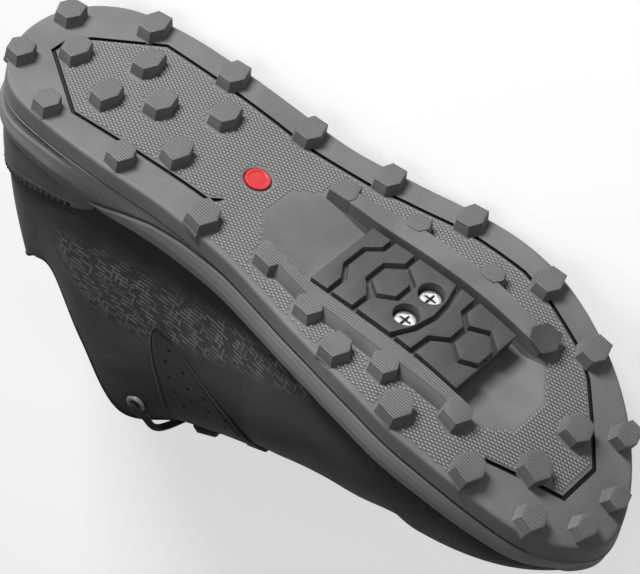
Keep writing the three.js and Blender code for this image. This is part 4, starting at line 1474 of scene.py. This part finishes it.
def heel_tab_mesh():
    a, b = np.meshgrid(np.linspace(-1, 1, 24), np.linspace(0, 1, 30), indexing="ij")
    u, v = a * 0.012, 0.86 + 0.14 * b
    round_off = smooth(1, 0.86, np.abs(a)) * smooth(0, 0.1, b) * smooth(1, 0.92, b)
    lift = GAP + 0.3 + 1.55 * round_off + 0.06 * np.sin(b * 60)
    marks = {"skin": np.stack([a * 4, b * 16, a], -1)}
    return shell("pull_tab", lifted(u, v, lift), lifted(u, v, np.full(u.shape, GAP)), marks)


def collar_mesh():
    a, b = np.meshgrid(np.linspace(-1, 1, 150), np.linspace(0, 1, 34), indexing="ij")
    u, v = a * 11 / 60, 0.6 + 0.38 * b
    fat = np.sin(np.pi * np.clip(0.12 + 0.83 * b, 0, 1)) * smooth(1, 0.9, np.abs(a)) ** 0.5
    inner = lifted(u, v, -(WALL + GAP + 0.6 + 3.2 * fat))
    outer = lifted(u, v, np.full(u.shape, -(WALL + GAP + 0.1)))
    return shell("collar_lining", inner, outer, {"skin": skin_marks(inner)})


def binding_mesh():
    """Dark rolled edge of the collar and throat."""
    u = np.linspace(-6.9, 6.9, 260) / (2 * ROWS)
    top = side(u, np.ones(u.shape))
    normal = side_normal(u, np.ones(u.shape))
    path = top - normal * (WALL / 2)
    return tube("collar_binding", path, 1.45, 1.35, normal, 14)


# Tongue
def tongue_mesh():
    rows = np.array(TONGUE)
    key = np.arange(len(rows))
    fine = np.linspace(0, len(rows) - 1, 70)
    table = np.column_stack([key, rows])
    x = hermite(table, fine, 1) * LONG
    z = hermite(table, fine, 2) * TALL
    half = hermite(table, fine, 3) * WIDE
    fall = hermite(table, fine, 4)
    dx, dz = np.gradient(x), np.gradient(z)
    n = np.hypot(dx, dz)
    f = np.linspace(-1, 1, 33)
    grids = []
    for thick in (0.0, 3.6):
        round_edge = 1.3 * smooth(0.8, 1.0, np.abs(f)) * (1 if thick == 0 else -1)
        end = (1.5 * smooth(2, 0, np.arange(70)) + 1.5 * smooth(67, 69, np.arange(70)))[:, None]
        end = end * (0.9 if thick == 0 else -0.9)
        quilt = 0.0
        if thick == 0:
            quilt = 0.5 * (1 - np.abs(np.sin(np.pi * 2.5 * f))[None]) * smooth(1, 0.75, np.abs(f))[None]
        drop = fall[:, None] * f[None] ** 2 + thick + round_edge[None] + end + quilt
        grids.append(
            np.stack([
                x[:, None] - (dz / n)[:, None] * drop,
                half[:, None] * f[None] + 0.5,
                z[:, None] + (dx / n)[:, None] * drop,
            ], -1)
        )
    return shell("tongue_pad", grids[0], grids[1], {"skin": skin_marks(grids[0])})


# Lacing
def loop_frame(row, inner):
    def at(r, v):
        return side(row_u(r, inner), v)

    p = at(row, 1)
    along = unit(at(row + 0.12, 1) - at(row - 0.12, 1))
    into = p - at(row, 0.93)
    into = unit(into - along * (into @ along))
    over = unit(np.cross(into, along))
    if over[2] < 0:
        over = -over
    return {"p": p, "along": along, "into": into, "over": over}


def lace_at(f):
    return f["p"] + f["into"] * 4.6 - f["over"] * 0.5


def loop_mesh(name, f):
    c = lace_at(f)
    lead = np.linspace(0, 1, 6)[:-1, None]
    arc = np.linspace(-np.pi / 2, np.pi * 0.9, 26)

    def line(r, h):
        fold = np.stack([r * np.cos(arc), r * np.sin(arc)], 1)
        start = np.array([-7.4, -h])
        return np.concatenate([start + (fold[0] - start) * lead, fold])

    outer, inner = line(2.9, 3.1), line(1.9, 2.1)
    run = np.concatenate([[0], np.cumsum(np.linalg.norm(np.diff(outer, axis=0), axis=1))])
    across = np.array([-1, -0.94, -0.6, -0.2, 0.2, 0.6, 0.94, 1]) * LOOP_WIDE / 2
    dip = np.array([0.22, 0.02, 0, 0, 0, 0, 0.02, 0.22])
    grids = []
    for shape, turn in ((outer, -1), (inner, 1)):
        middle = (outer + inner) / 2
        grid = np.zeros((len(shape), len(across), 3))
        for k, (s, d) in enumerate(zip(across, dip)):
            q = shape + (middle - shape) * d * 1.6
            grid[:, k] = c + q[:, :1] * f["into"] + q[:, 1:] * f["over"] + s * f["along"]
        grids.append(grid)
    skin = np.zeros((len(outer), len(across), 3))
    skin[..., 0] = run[:, None]
    skin[..., 1] = across[None]
    skin[..., 2] = 1
    return shell(name, grids[0], grids[1], {"skin": skin})


def lace_path(frames, first):
    """One lace: through the loops on alternating sides, over the tongue and into the top eyelet."""
    reach = LOOP_WIDE / 2 + 0.8
    points = []
    for i, pair in enumerate(frames):
        f = pair[(i + first) % 2]
        c = lace_at(f)
        enter = c + f["along"] * reach
        leave = c - f["along"] * reach
        points.extend([enter, c, leave])
        if i + 1 < len(frames):
            g = frames[i + 1][(i + 1 + first) % 2]
            arrive = lace_at(g) + g["along"] * reach
            for share in (0.25, 0.5, 0.75):
                p = leave + (arrive - leave) * share
                p[2] += (2.2 + 1.5 * first) * math.sin(math.pi * share)
                points.append(p)
    last = (len(frames) + first) % 2
    inner = last == 0
    centre, n, _, _ = eyelet_frame(inner)
    top = side(row_u(EYELET[0] + 0.35, inner), 1.0)
    normal = side_normal(row_u(EYELET[0] + 0.35, inner), 1.0)
    leave = points[-1]
    over = top + normal * 1.8 + np.array([0, 0, 2.6])
    for share in (0.3, 0.65):
        p = leave + (over - leave) * share
        p[2] += (4.0 + 1.6 * first) * math.sin(math.pi * share)
        points.append(p)
    points.append(over)
    points.append(centre + (top - centre) * 0.5 + n * 3.4)
    points.append(centre + n * 2.6)
    points.append(centre + n * 0.6)
    points.append(centre - n * 2.4)
    return points


# Cover, screws and badge
def sweep_solid(path, profile):
    """Band along an open plan path: profile is its half width low and high, and its heights."""
    low_half, high_half, low, high = profile
    p = []
    for a, b in zip(path, path[1:]):
        n = max(1, int(np.linalg.norm(b - a) / 4))
        p.extend(a + (b - a) * k / n for k in range(n))
    p.append(path[-1])
    p = np.array(p)
    edge_low, edge_high = ribbon(p, low_half), ribbon(p, high_half)
    n = len(p)
    sections = []
    for i in range(n):
        l0, l1 = edge_low[i], edge_low[2 * n - 1 - i]
        h0, h1 = edge_high[i], edge_high[2 * n - 1 - i]
        sections.append([below(*l0, low), below(*l1, low), below(*h1, high), below(*h0, high)])
    return loft("cutter", sections)


def tread_axes(at):
    """Point of the tread base, its outward normal, and its directions forward and inward."""
    a = float(slope(at[0]))
    outward_normal = np.array([math.sin(a), 0, -math.cos(a)])
    return below(*at, 0), outward_normal, np.array([math.cos(a), 0, math.sin(a)]), np.array([0.0, 1.0, 0.0])


SCREWS = [(SCREWS_AT[0] * LONG, SCREWS_AT[1] * WIDE + s * SCREWS_APART) for s in (0.5, -0.5)]


def cover_mesh():
    start, long, low_y, wide = COVER
    xs = LONG * np.linspace(start, start + long, 33)
    ys = WIDE * np.linspace(low_y, low_y + wide, 3)
    xx, yy = np.meshgrid(xs, ys, indexing="ij")
    obj = shell("pocket_cover", below(xx, yy, PAD), below(xx, yy, -(POCKET - GAP)))
    groove_shape = (0.85, 1.25, PAD - 2.4, PAD + 1)
    cutters = [sweep_solid(plan(path), groove_shape) for path in TREADS]
    for centre in plan(HEXES):
        loop = np.array(HEX) + centre
        for first in (0, 3):
            half = loop[[first - 1, first, (first + 1) % 6, (first + 2) % 6, (first + 3) % 6]]
            half[0] = (half[0] + half[1]) / 2
            half[-1] = (half[-1] + half[-2]) / 2
            cutters.append(sweep_solid(half, groove_shape))
    for at in SCREWS:
        for r, high, low, sides in SCREW_BORES:
            cutters.append(spun("cutter", tread_axes(at), [(r, low), (r, high)], sides))
    cut(obj, *cutters)
    return bevel(obj, 0.22, 35)


def screw_mesh(name, at):
    c, n, t, b = tread_axes(at)
    obj = spun(name, (c, n, t, b), SCREW_TURNED)
    for lx, ly in (CROSS, CROSS[::-1]):
        corners = [(-1, -1), (1, -1), (1, 1), (-1, 1)]
        bar = []
        for h, f in ((0.1, 0.8), (2, 1.15)):
            bar.append([c + n * h + t * p * lx * f + b * q * ly * f for p, q in corners])
        cut(obj, loft("cutter", bar))
    bevel(obj, 0.1, 40)
    away = shoe_points(obj) - c
    height = away @ n
    # Marks the cross slot, which is painted as shade: near black and not metallic
    put_marks(obj, "painted_slot_shade", (height > -0.5) * (height < 1.02) * (np.hypot(away @ t, away @ b) < 3.4))
    return obj


def badge_mesh():
    return spun("badge_dot", tread_axes(BADGE), BADGE_TURNED, 56)


# Materials
WALE, COURSE = 0.95, 0.85  # knit pattern, round the shoe and up it


def rubber_finish():
    m = Finish("sole_rubber", roughness=0.6, specular_ior_level=0.35)
    at = m.place()
    grain = m.noise(at, 2.6, 4.0, 0.6)
    cloud = m.noise(at, 0.035, 3.0, 0.5)
    shade = m.mix(cloud.ease(0.3, 0.7), (0.135, 0.135, 0.137), (0.175, 0.175, 0.175))
    shade = m.mix((grain.ease(0.55, 0.8)) * 0.35, shade, (0.25, 0.25, 0.25))
    shade = m.mix((grain.ease(0.45, 0.25)) * 0.3, shade, (0.07, 0.07, 0.07))
    # Painted shade: near black on the groove's floor, where shade falls in the recess
    shade = m.mix(m.value("dark").ease(0.1, 0.6), shade, (0.004, 0.004, 0.004))
    return m.done(shade, 0.52 + grain * 0.2, m.bump(grain, 0.16, 0.6))


def lug_finish():
    m = Finish("lug_rubber", roughness=0.6, specular_ior_level=0.35)
    at = m.place()
    x, y, z = m.parts(at)
    grain = m.noise(at, 2.6, 4.0, 0.6)
    zigzag = ((x / 2.6).fract() - 0.5).abs() * 0.55
    line = (y + zigzag).wave(1.02).ease(0.2, 0.8)
    level = m.value("tip")
    tip = level.ease(0.9, 1.0)
    shade = m.mix(m.noise(at, 0.05, 2.0).ease(0.3, 0.7), (0.125, 0.125, 0.127), (0.165, 0.165, 0.165))
    # Painted highlight and shade: the fine lines on the lug tips are painted lighter on their ridges and
    # darker between them, on top of their bump
    shade = m.mix(tip * line * 0.45, shade, (0.27, 0.27, 0.27))
    shade = m.mix(tip * (1 - line) * 0.55, shade, (0.06, 0.06, 0.06))
    relief = m.bump(line * tip, 0.25, 0.8, m.bump(grain, 0.14, 0.6))
    return m.done(shade, 0.55 + grain * 0.15, relief)


def weave_finish():
    m = Finish("tread_weave_rubber", roughness=0.55, specular_ior_level=0.4)
    at = m.place()
    grain = m.noise(at, 3.0, 3.0, 0.6)
    height = m.value("rise")
    # Painted shade and highlight: each lozenge is painted dark at its foot and light at its top
    shade = m.mix(height, (0.055, 0.055, 0.057), (0.26, 0.26, 0.26))
    return m.done(shade, 0.5 + grain * 0.2, m.bump(grain, 0.1, 0.5))


def midsole_finish():
    m = Finish("midsole_foam", roughness=0.6, specular_ior_level=0.35)
    at = m.place()
    x, y, z = m.parts(at)
    skin_x, height, row = m.parts(m.place("skin"))
    grain = m.noise(at, 2.2, 4.0, 0.6)
    line = m.value("line")
    ribs = x.wave(0.95).ease(0.15, 0.85)
    over = height - line
    ribbed = over.ease(0.1, -0.5) * x.ease(38.0, 60.0)
    slanted = (x * (2 * math.pi / 1.25) + height * 2.2).sin()
    waffle = (slanted * (height * (2 * math.pi / 1.15)).sin() * 0.5 + 0.5).ease(0.25, 0.75)
    lens = m.value("lens")
    dark = m.value("groove")
    shade = m.mix(m.noise(at, 0.04, 2.0).ease(0.3, 0.7), (0.15, 0.15, 0.152), (0.19, 0.19, 0.19))
    shade = m.mix(over.ease(0.2, 2.5) * 0.4, shade, (0.26, 0.26, 0.26))
    shade = m.mix(grain.ease(0.55, 0.8) * 0.3, shade, (0.27, 0.27, 0.27))
    # Painted shade: the valleys between the ribs and between the waffle cells are painted dark
    shade = m.mix(ribbed * (1 - ribs) * 0.5, shade, (0.06, 0.06, 0.06))
    shade = m.mix(lens * (1 - waffle) * 0.5, shade, (0.06, 0.06, 0.06))
    # Painted shade: near black in the seam groove
    shade = m.mix(dark * 0.9, shade, (0.012, 0.012, 0.012))
    relief = m.bump(ribs * ribbed + waffle * lens, 0.22, 0.7, m.bump(grain, 0.14, 0.6))
    return m.done(shade, 0.52 + grain * 0.2, relief)


def knit_finish():
    m = Finish("knit", roughness=0.85, specular_ior_level=0.25, sheen_weight=0.25, sheen_roughness=0.5)
    m.shader.inputs["Sheen Tint"].default_value = (0.5, 0.5, 0.52, 1)
    around_mm, up_mm, hidden = m.parts(m.place("skin"))
    row, high, _ = m.parts(m.place("chart"))
    knit = (around_mm.wave(WALE) * up_mm.wave(COURSE)).ease(0.05, 0.8)
    # Light dashes in a slanting band, as rows of floats along and across
    band = m.value("band")
    lane = up_mm / 1.7
    chance = m.node("TexWhiteNoise", {"noise_dimensions": "1D"}, lane.floor())
    phase = around_mm / 11.0 + chance * 7.0
    cell = m.node("TexWhiteNoise", {"noise_dimensions": "2D"}, m.vector(phase.floor(), lane.floor()))
    on = phase.fract().under(0.34 + cell * 0.5) * (lane.fract() - 0.5).abs().ease(0.3, 0.12)
    lane2 = around_mm / 2.3
    chance2 = m.node("TexWhiteNoise", {"noise_dimensions": "1D"}, lane2.floor())
    phase2 = up_mm / 9.0 + chance2 * 5.0
    cell2 = m.node("TexWhiteNoise", {"noise_dimensions": "2D"}, m.vector(phase2.floor(), lane2.floor()))
    line2 = (lane2.fract() - 0.5).abs().ease(0.24, 0.1)
    on2 = phase2.fract().under(0.15 + cell2 * 0.45) * line2 * cell2.over(0.45)
    patch = m.noise(m.vector(around_mm, up_mm), 0.16, 2.0).ease(0.35, 0.6)
    dash = (on.high(on2 * 0.8)) * band * (0.35 + patch * 0.65)
    cloud = m.noise(m.vector(around_mm, up_mm), 0.05, 3.0)
    shade = m.mix(cloud.ease(0.3, 0.7), (0.024, 0.024, 0.025), (0.034, 0.034, 0.036))
    shade = m.mix(knit * (0.25 + band * 0.35), shade, (0.085, 0.085, 0.088))
    shade = m.mix(dash * 0.8, shade, (0.2, 0.2, 0.205))
    shade = m.mix(high.ease(0.93, 0.99), shade, (0.008, 0.008, 0.008))
    relief = m.bump(dash, 0.12, 0.5, m.bump(knit, 0.16, 0.6))
    return m.done(shade, 0.72 + knit * 0.15, relief)


def panel_finish():
    worn = {"roughness": 0.8, "specular_ior_level": 0.25, "sheen_weight": 0.2, "sheen_roughness": 0.5}
    m = Finish("perforated_panel", **worn)
    m.shader.inputs["Sheen Tint"].default_value = (0.5, 0.5, 0.52, 1)
    around_mm, up_mm, _ = m.parts(m.place("skin"))
    knit = (around_mm.wave(WALE) * up_mm.wave(COURSE)).ease(0.05, 0.8)
    shade = m.mix(knit * 0.25, (0.026, 0.026, 0.027), (0.08, 0.08, 0.083))
    # Painted shade: the trough round the panel's edge and the pinholes are painted near black
    shade = m.mix(m.value("trough") * 0.85, shade, (0.006, 0.006, 0.006))
    shade = m.mix(m.value("pit"), shade, (0.001, 0.001, 0.001))
    return m.done(shade, 0.75, m.bump(knit, 0.14, 0.5))


def cloth_finish(name, colour, light, period):
    m = Finish(name, roughness=0.9, specular_ior_level=0.2, sheen_weight=0.3, sheen_roughness=0.5)
    m.shader.inputs["Sheen Tint"].default_value = (0.35, 0.35, 0.36, 1)
    s, t, _ = m.parts(m.place("skin"))
    weave = ((s * (2 * math.pi / period)).sin() * (t * (2 * math.pi / period)).sin()) * 0.5 + 0.5
    fuzz = m.noise(m.place(), 1.2, 4.0, 0.7)
    shade = m.mix(weave * 0.35 + fuzz * 0.3, colour, light)
    return m.done(shade, 0.85, m.bump(weave, 0.25, 0.6, m.bump(fuzz, 0.3, 0.4)))


def toe_finish():
    m = Finish("toe_guard_rubber", roughness=0.65, specular_ior_level=0.3)
    around_mm, up_mm, _ = m.parts(m.place("skin"))
    flow = m.vector(around_mm * 0.1 + up_mm * 0.03, up_mm * 0.95 + around_mm * 0.12)
    ridge = (1 - (m.noise(flow, 1.0, 3.0, 0.6) - 0.5).abs() * 5.0).ease(0.1, 0.95)
    fine = m.noise(m.vector(around_mm * 0.3, up_mm * 2.2), 1.0, 2.0, 0.6)
    # Painted highlight: the ridges are painted lighter, on top of their bump; the fine strokes vary the tone
    shade = m.mix(ridge * 0.5 + fine.ease(0.4, 0.8) * 0.25, (0.010, 0.010, 0.010), (0.055, 0.055, 0.056))
    return m.done(shade, 0.55 + fine * 0.25, m.bump(ridge * 0.8 + fine * 0.3, 0.55, 0.9))


def counter_finish():
    m = Finish("counter_foam", roughness=0.6, specular_ior_level=0.35)
    at = m.place()
    grain = m.noise(at, 2.2, 4.0, 0.6)
    row, level, _ = m.parts(m.place("skin"))
    shade = m.mix(m.noise(at, 0.06, 2.0).ease(0.3, 0.7), (0.115, 0.115, 0.117), (0.15, 0.15, 0.15))
    shade = m.mix(grain.ease(0.55, 0.8) * 0.25, shade, (0.22, 0.22, 0.22))
    shade = m.mix(level.ease(0.985, 1.0) * 0.7, shade, (0.02, 0.02, 0.02))
    return m.done(shade, 0.55 + grain * 0.2, m.bump(grain, 0.12, 0.6))


def webbing_finish():
    m = Finish("webbing", roughness=0.8, specular_ior_level=0.3, sheen_weight=0.2)
    run, across, _ = m.parts(m.place("skin"))
    stripe = ((run / 1.15).fract() - 0.5).abs().ease(0.27, 0.17)
    shown = run.ease(6.0, 8.0) * run.ease(16.5, 14.5)
    twist = ((across * 5.0 + run * 2.0).sin() * 0.5 + 0.5)
    shade = m.mix(stripe * shown * (0.55 + twist * 0.35), (0.012, 0.012, 0.012), (0.33, 0.33, 0.33))
    return m.done(shade, 0.75, m.bump(stripe + twist * 0.3, 0.25, 0.7))


def lace_finish():
    m = Finish("lace", roughness=0.8, specular_ior_level=0.25, sheen_weight=0.2)
    run, turn, _ = m.parts(m.place("skin"))
    braid = ((run * 4.2 + turn * 2.0).sin() * (run * 4.2 - turn * 2.0).sin()) * 0.5 + 0.5
    shade = m.mix(braid, (0.003, 0.003, 0.003), (0.016, 0.016, 0.017))
    return m.done(shade, 0.8, m.bump(braid, 0.3, 0.8))


def plain_finish(name, dark, light, rough, scale=0.6, depth=0.1, **values):
    m = Finish(name, **values)
    at = m.place()
    cloud = m.noise(at, scale, 4.0, 0.6)
    return m.done(m.mix(cloud.ease(0.3, 0.7), dark, light), rough + cloud * 0.12, m.bump(cloud, depth, 0.5))


def steel_finish():
    m = Finish("screw_steel", metallic=1.0)
    at = m.place()
    scratch = m.noise(at, 1.0, 3.0, 0.6, (3.0, 0.4, 1.0))
    shade = m.mix(scratch.ease(0.3, 0.7), (0.78, 0.78, 0.77), (0.93, 0.93, 0.92))
    # Painted shade: the cross slot is painted near black and made less metallic
    painted_slot_shade = m.value("painted_slot_shade").ease(0.2, 0.8)
    shade = m.mix(painted_slot_shade, shade, (0.01, 0.01, 0.01))
    return m.done(shade, 0.3 + scratch * 0.15, m.bump(scratch, 0.03, 0.3), 1 - painted_slot_shade * 0.8)


# Building
def put_marks(obj, key, values):
    layer = obj.data.attributes.get(key) or obj.data.attributes.new(key, "FLOAT", "POINT")
    layer.data.foreach_set("value", np.asarray(values, np.float32).ravel())


def shoe_points(obj):
    co = np.zeros(len(obj.data.vertices) * 3, np.float32)
    obj.data.vertices.foreach_get("co", co)
    return stand(co.reshape(-1, 3))


def tread_height(points):
    """Height outside the tread base of points near it."""
    x = points[:, 0]
    for _ in range(3):
        a = slope(x)
        h = (rock(x) - points[:, 2]) / np.cos(a)
        x = points[:, 0] - np.sin(a) * h
    return (rock(x) - points[:, 2]) / np.cos(slope(x))


rubber = rubber_finish()
outsole = keep(outsole_mesh(), rubber, ["outsole"], 28)
rails = [rail_mesh(RAILS[0], False), rail_mesh(RAILS[1], True)]
lugs = join("tread_lugs", [lug_mesh(row) for row in LUGS] + rails)
# Height up each lug, used to paint the highlights and shades of the tip lines
put_marks(lugs, "tip", np.clip(tread_height(shoe_points(lugs)) / LUG, 0, 1))
keep(lugs, lug_finish(), sharp=30)
weave = weave_mesh()
# Rise of each lozenge's rings, used to paint shade at the foot and a highlight at the top
put_marks(weave, "rise", np.tile(np.repeat([0.0, 0.15, 1.0], 4), len(weave.data.vertices) // 12))
keep(weave, weave_finish(), sharp=60)

midsole = midsole_mesh()
marks = np.zeros(len(midsole.data.vertices) * 3, np.float32)
midsole.data.attributes["skin"].data.foreach_get("vector", marks)
mx, mh, _ = marks.reshape(-1, 3).T
put_marks(midsole, "line", seam_height(mx))
# Painted shade: the seam groove is marked so the foam is painted near black there
put_marks(midsole, "groove", np.exp(-(((mh - seam_height(mx)) / 0.4) ** 2)) * smooth(60, 70, mx))
put_marks(midsole, "lens", heel_lens(mx, mh, 0.1, 0.4) * smooth(62, 48, mx))
keep(midsole, midsole_finish(), ["midsole"], 60)
sock_cloth = plain_finish("insole_cloth", (0.012, 0.012, 0.013), (0.03, 0.03, 0.032), 0.85, 1.2, 0.3)
keep(insole_mesh(), sock_cloth, ["insole"], 60)

upper = upper_mesh()
for inner in (True, False):
    cut(upper, spun("cutter", eyelet_frame(inner), [(EYELET_HOLE_R, -6), (EYELET_HOLE_R, 4)], 40))
skin_source = upper.data.attributes["chart"]
chart = np.zeros(len(upper.data.vertices) * 3, np.float32)
skin_source.data.foreach_get("vector", chart)
row, high, _ = chart.reshape(-1, 3).T
# The band of dashes rises from the forefoot's foot edge to the collar
band_rows, band_at, band_wide = np.transpose(DASH_BAND)
band_mid = np.interp(row, band_rows, band_at)
band_half = np.interp(row, band_rows, band_wide)
band = smooth(1.25, 0.55, np.abs(high - band_mid) / band_half) * smooth(3.9, 4.5, row) * smooth(9.9, 9.2, row)
put_marks(upper, "band", band)
keep(upper, knit_finish(), ["upper"], 60)
for inner, name in ((True, "eyelet_inner"), (False, "eyelet_outer")):
    ring = turned("rim_" + name, *eyelet_frame(inner), EYELET_TURNED)
    rim_finish = plain_finish("eyelet_rim", (0.16, 0.16, 0.16), (0.24, 0.24, 0.24), 0.35, 0.4, 0.03)
    keep(ring, rim_finish, [name], 50)

keep(counter_mesh(), counter_finish(), ["heel_counter"], 60)
thread = plain_finish("stitch_thread", (0.004, 0.004, 0.004), (0.012, 0.012, 0.012), 0.7, 2.0)
keep(counter_stitches(), thread)
keep(toe_mesh(), toe_finish(), ["toe_cap"], 60)
panel = panel_finish()
keep(panel_mesh(True), panel, ["side_panel_inner"], 60)
keep(panel_mesh(False), panel, ["side_panel_outer"], 60)
webbing = webbing_finish()
keep(heel_tab_mesh(), webbing, ["heel_tab"], 60)
lining = cloth_finish("collar_cloth", (0.006, 0.006, 0.006), (0.022, 0.022, 0.023), 1.0)
collar = keep(collar_mesh(), lining, ["collar"], 60)
keep(binding_mesh(), lining, sharp=60)
tongue_cloth = cloth_finish("tongue_cloth", (0.005, 0.005, 0.005), (0.02, 0.02, 0.021), 1.3)
tongue = keep(tongue_mesh(), tongue_cloth, ["tongue"], 60)

frames = [(loop_frame(r, True), loop_frame(r, False)) for r in LOOP_ROWS]
for i, pair in enumerate(frames):
    for name, f in zip(("inner", "outer"), pair):
        keep(loop_mesh(f"webbing_loop_{name}_{i + 1}", f), webbing, [f"loop_{name}_{i + 1}"], 60)
ends = [lace_at(f) + f["along"] * (LOOP_WIDE / 2 + 0.8) for f in frames[0]]
bar = [ends[0]]
for share in (0.15, 0.5, 0.85):
    p = ends[0] + (ends[1] - ends[0]) * share
    bar.append(p + np.array([2.4, 0, 2 * math.sin(math.pi * share)]))
bar.append(ends[1])
routes = [lace_path(frames, 0), lace_path(frames, 1), bar]
runs = [tube("run", curve_through(route, 0.8), *LACE_HALF, (0.2, 0, 1), 14) for route in routes]
keep(join("lace", runs), lace_finish(), ["laces"], 60)

cover_dark, cover_light = (0.05, 0.05, 0.051), (0.068, 0.068, 0.07)
cover_rubber = plain_finish("cover_rubber", cover_dark, cover_light, 0.5, 1.6, 0.12, specular_ior_level=0.4)
keep(cover_mesh(), cover_rubber, ["cleat_cover"], 30)
steel = steel_finish()
for name, at in zip(("screw_inner", "screw_outer"), SCREWS):
    keep(screw_mesh("cross_" + name, at), steel, [name], 35)
red = plain_finish("badge_red", (0.5, 0.008, 0.014), (0.62, 0.02, 0.025), 0.35, 1.2, 0.05, coat_weight=0.4)
keep(badge_mesh(), red, ["badge"], 35)

# Floor, lights and camera
floor_mesh = bpy.data.meshes.new("floor")
floor_mesh.from_pydata([(-4, -4, 0), (4, -4, 0), (4, 4, 0), (-4, 4, 0)], [], [(0, 1, 2, 3)])
floor = bpy.data.objects.new("floor", floor_mesh)
bpy.context.scene.collection.objects.link(floor)
ground = Finish("floor_white", base_color=(0.9, 0.9, 0.9), roughness=0.9, specular_ior_level=0.1)
ground.shader.inputs["Emission Color"].default_value = (1, 1, 1, 1)
ground.shader.inputs["Emission Strength"].default_value = 0.45
floor.visible_diffuse = False
floor_mesh.materials.append(ground.material)


def area_light(name, at, size, power, target=(0, 0, 0.05)):
    data = bpy.data.lights.new(name, "AREA")
    data.shape = "RECTANGLE"
    data.size, data.size_y = size
    data.energy = power
    lamp = bpy.data.objects.new(name, data)
    lamp.location = at
    lamp.rotation_euler = (Vector(target) - Vector(at)).to_track_quat("-Z", "Y").to_euler()
    bpy.context.scene.collection.objects.link(lamp)


for light_name, (place, size, power) in LIGHTS.items():
    area_light(light_name, place, size, power)
world = bpy.data.worlds.new("studio")
world.use_nodes = True
world.node_tree.nodes["Background"].inputs["Color"].default_value = (1, 1, 1, 1)
world.node_tree.nodes["Background"].inputs["Strength"].default_value = 0.11
bpy.context.scene.world = world
bpy.context.scene.view_settings.view_transform = "Standard"

camera_data = bpy.data.cameras.new("camera")
camera_data.sensor_width = 36
camera_data.lens = 36 * CAMERA_FOCAL_PX / PICTURE_PX[0]
camera_data.clip_start = 0.05
camera_data.clip_end = 20
camera = bpy.data.objects.new("camera", camera_data)
back = TURN @ unit(CAMERA_SIDE)
up = TURN @ unit(CAMERA_UP)
right = unit(np.cross(up, back))
up = np.cross(back, right)
facing = Matrix(np.stack([right, up, back], 1).tolist()).to_4x4()
camera.matrix_world = Matrix.Translation(lay(CAMERA_AT).tolist()) @ facing
bpy.context.scene.collection.objects.link(camera)
bpy.context.scene.camera = camera
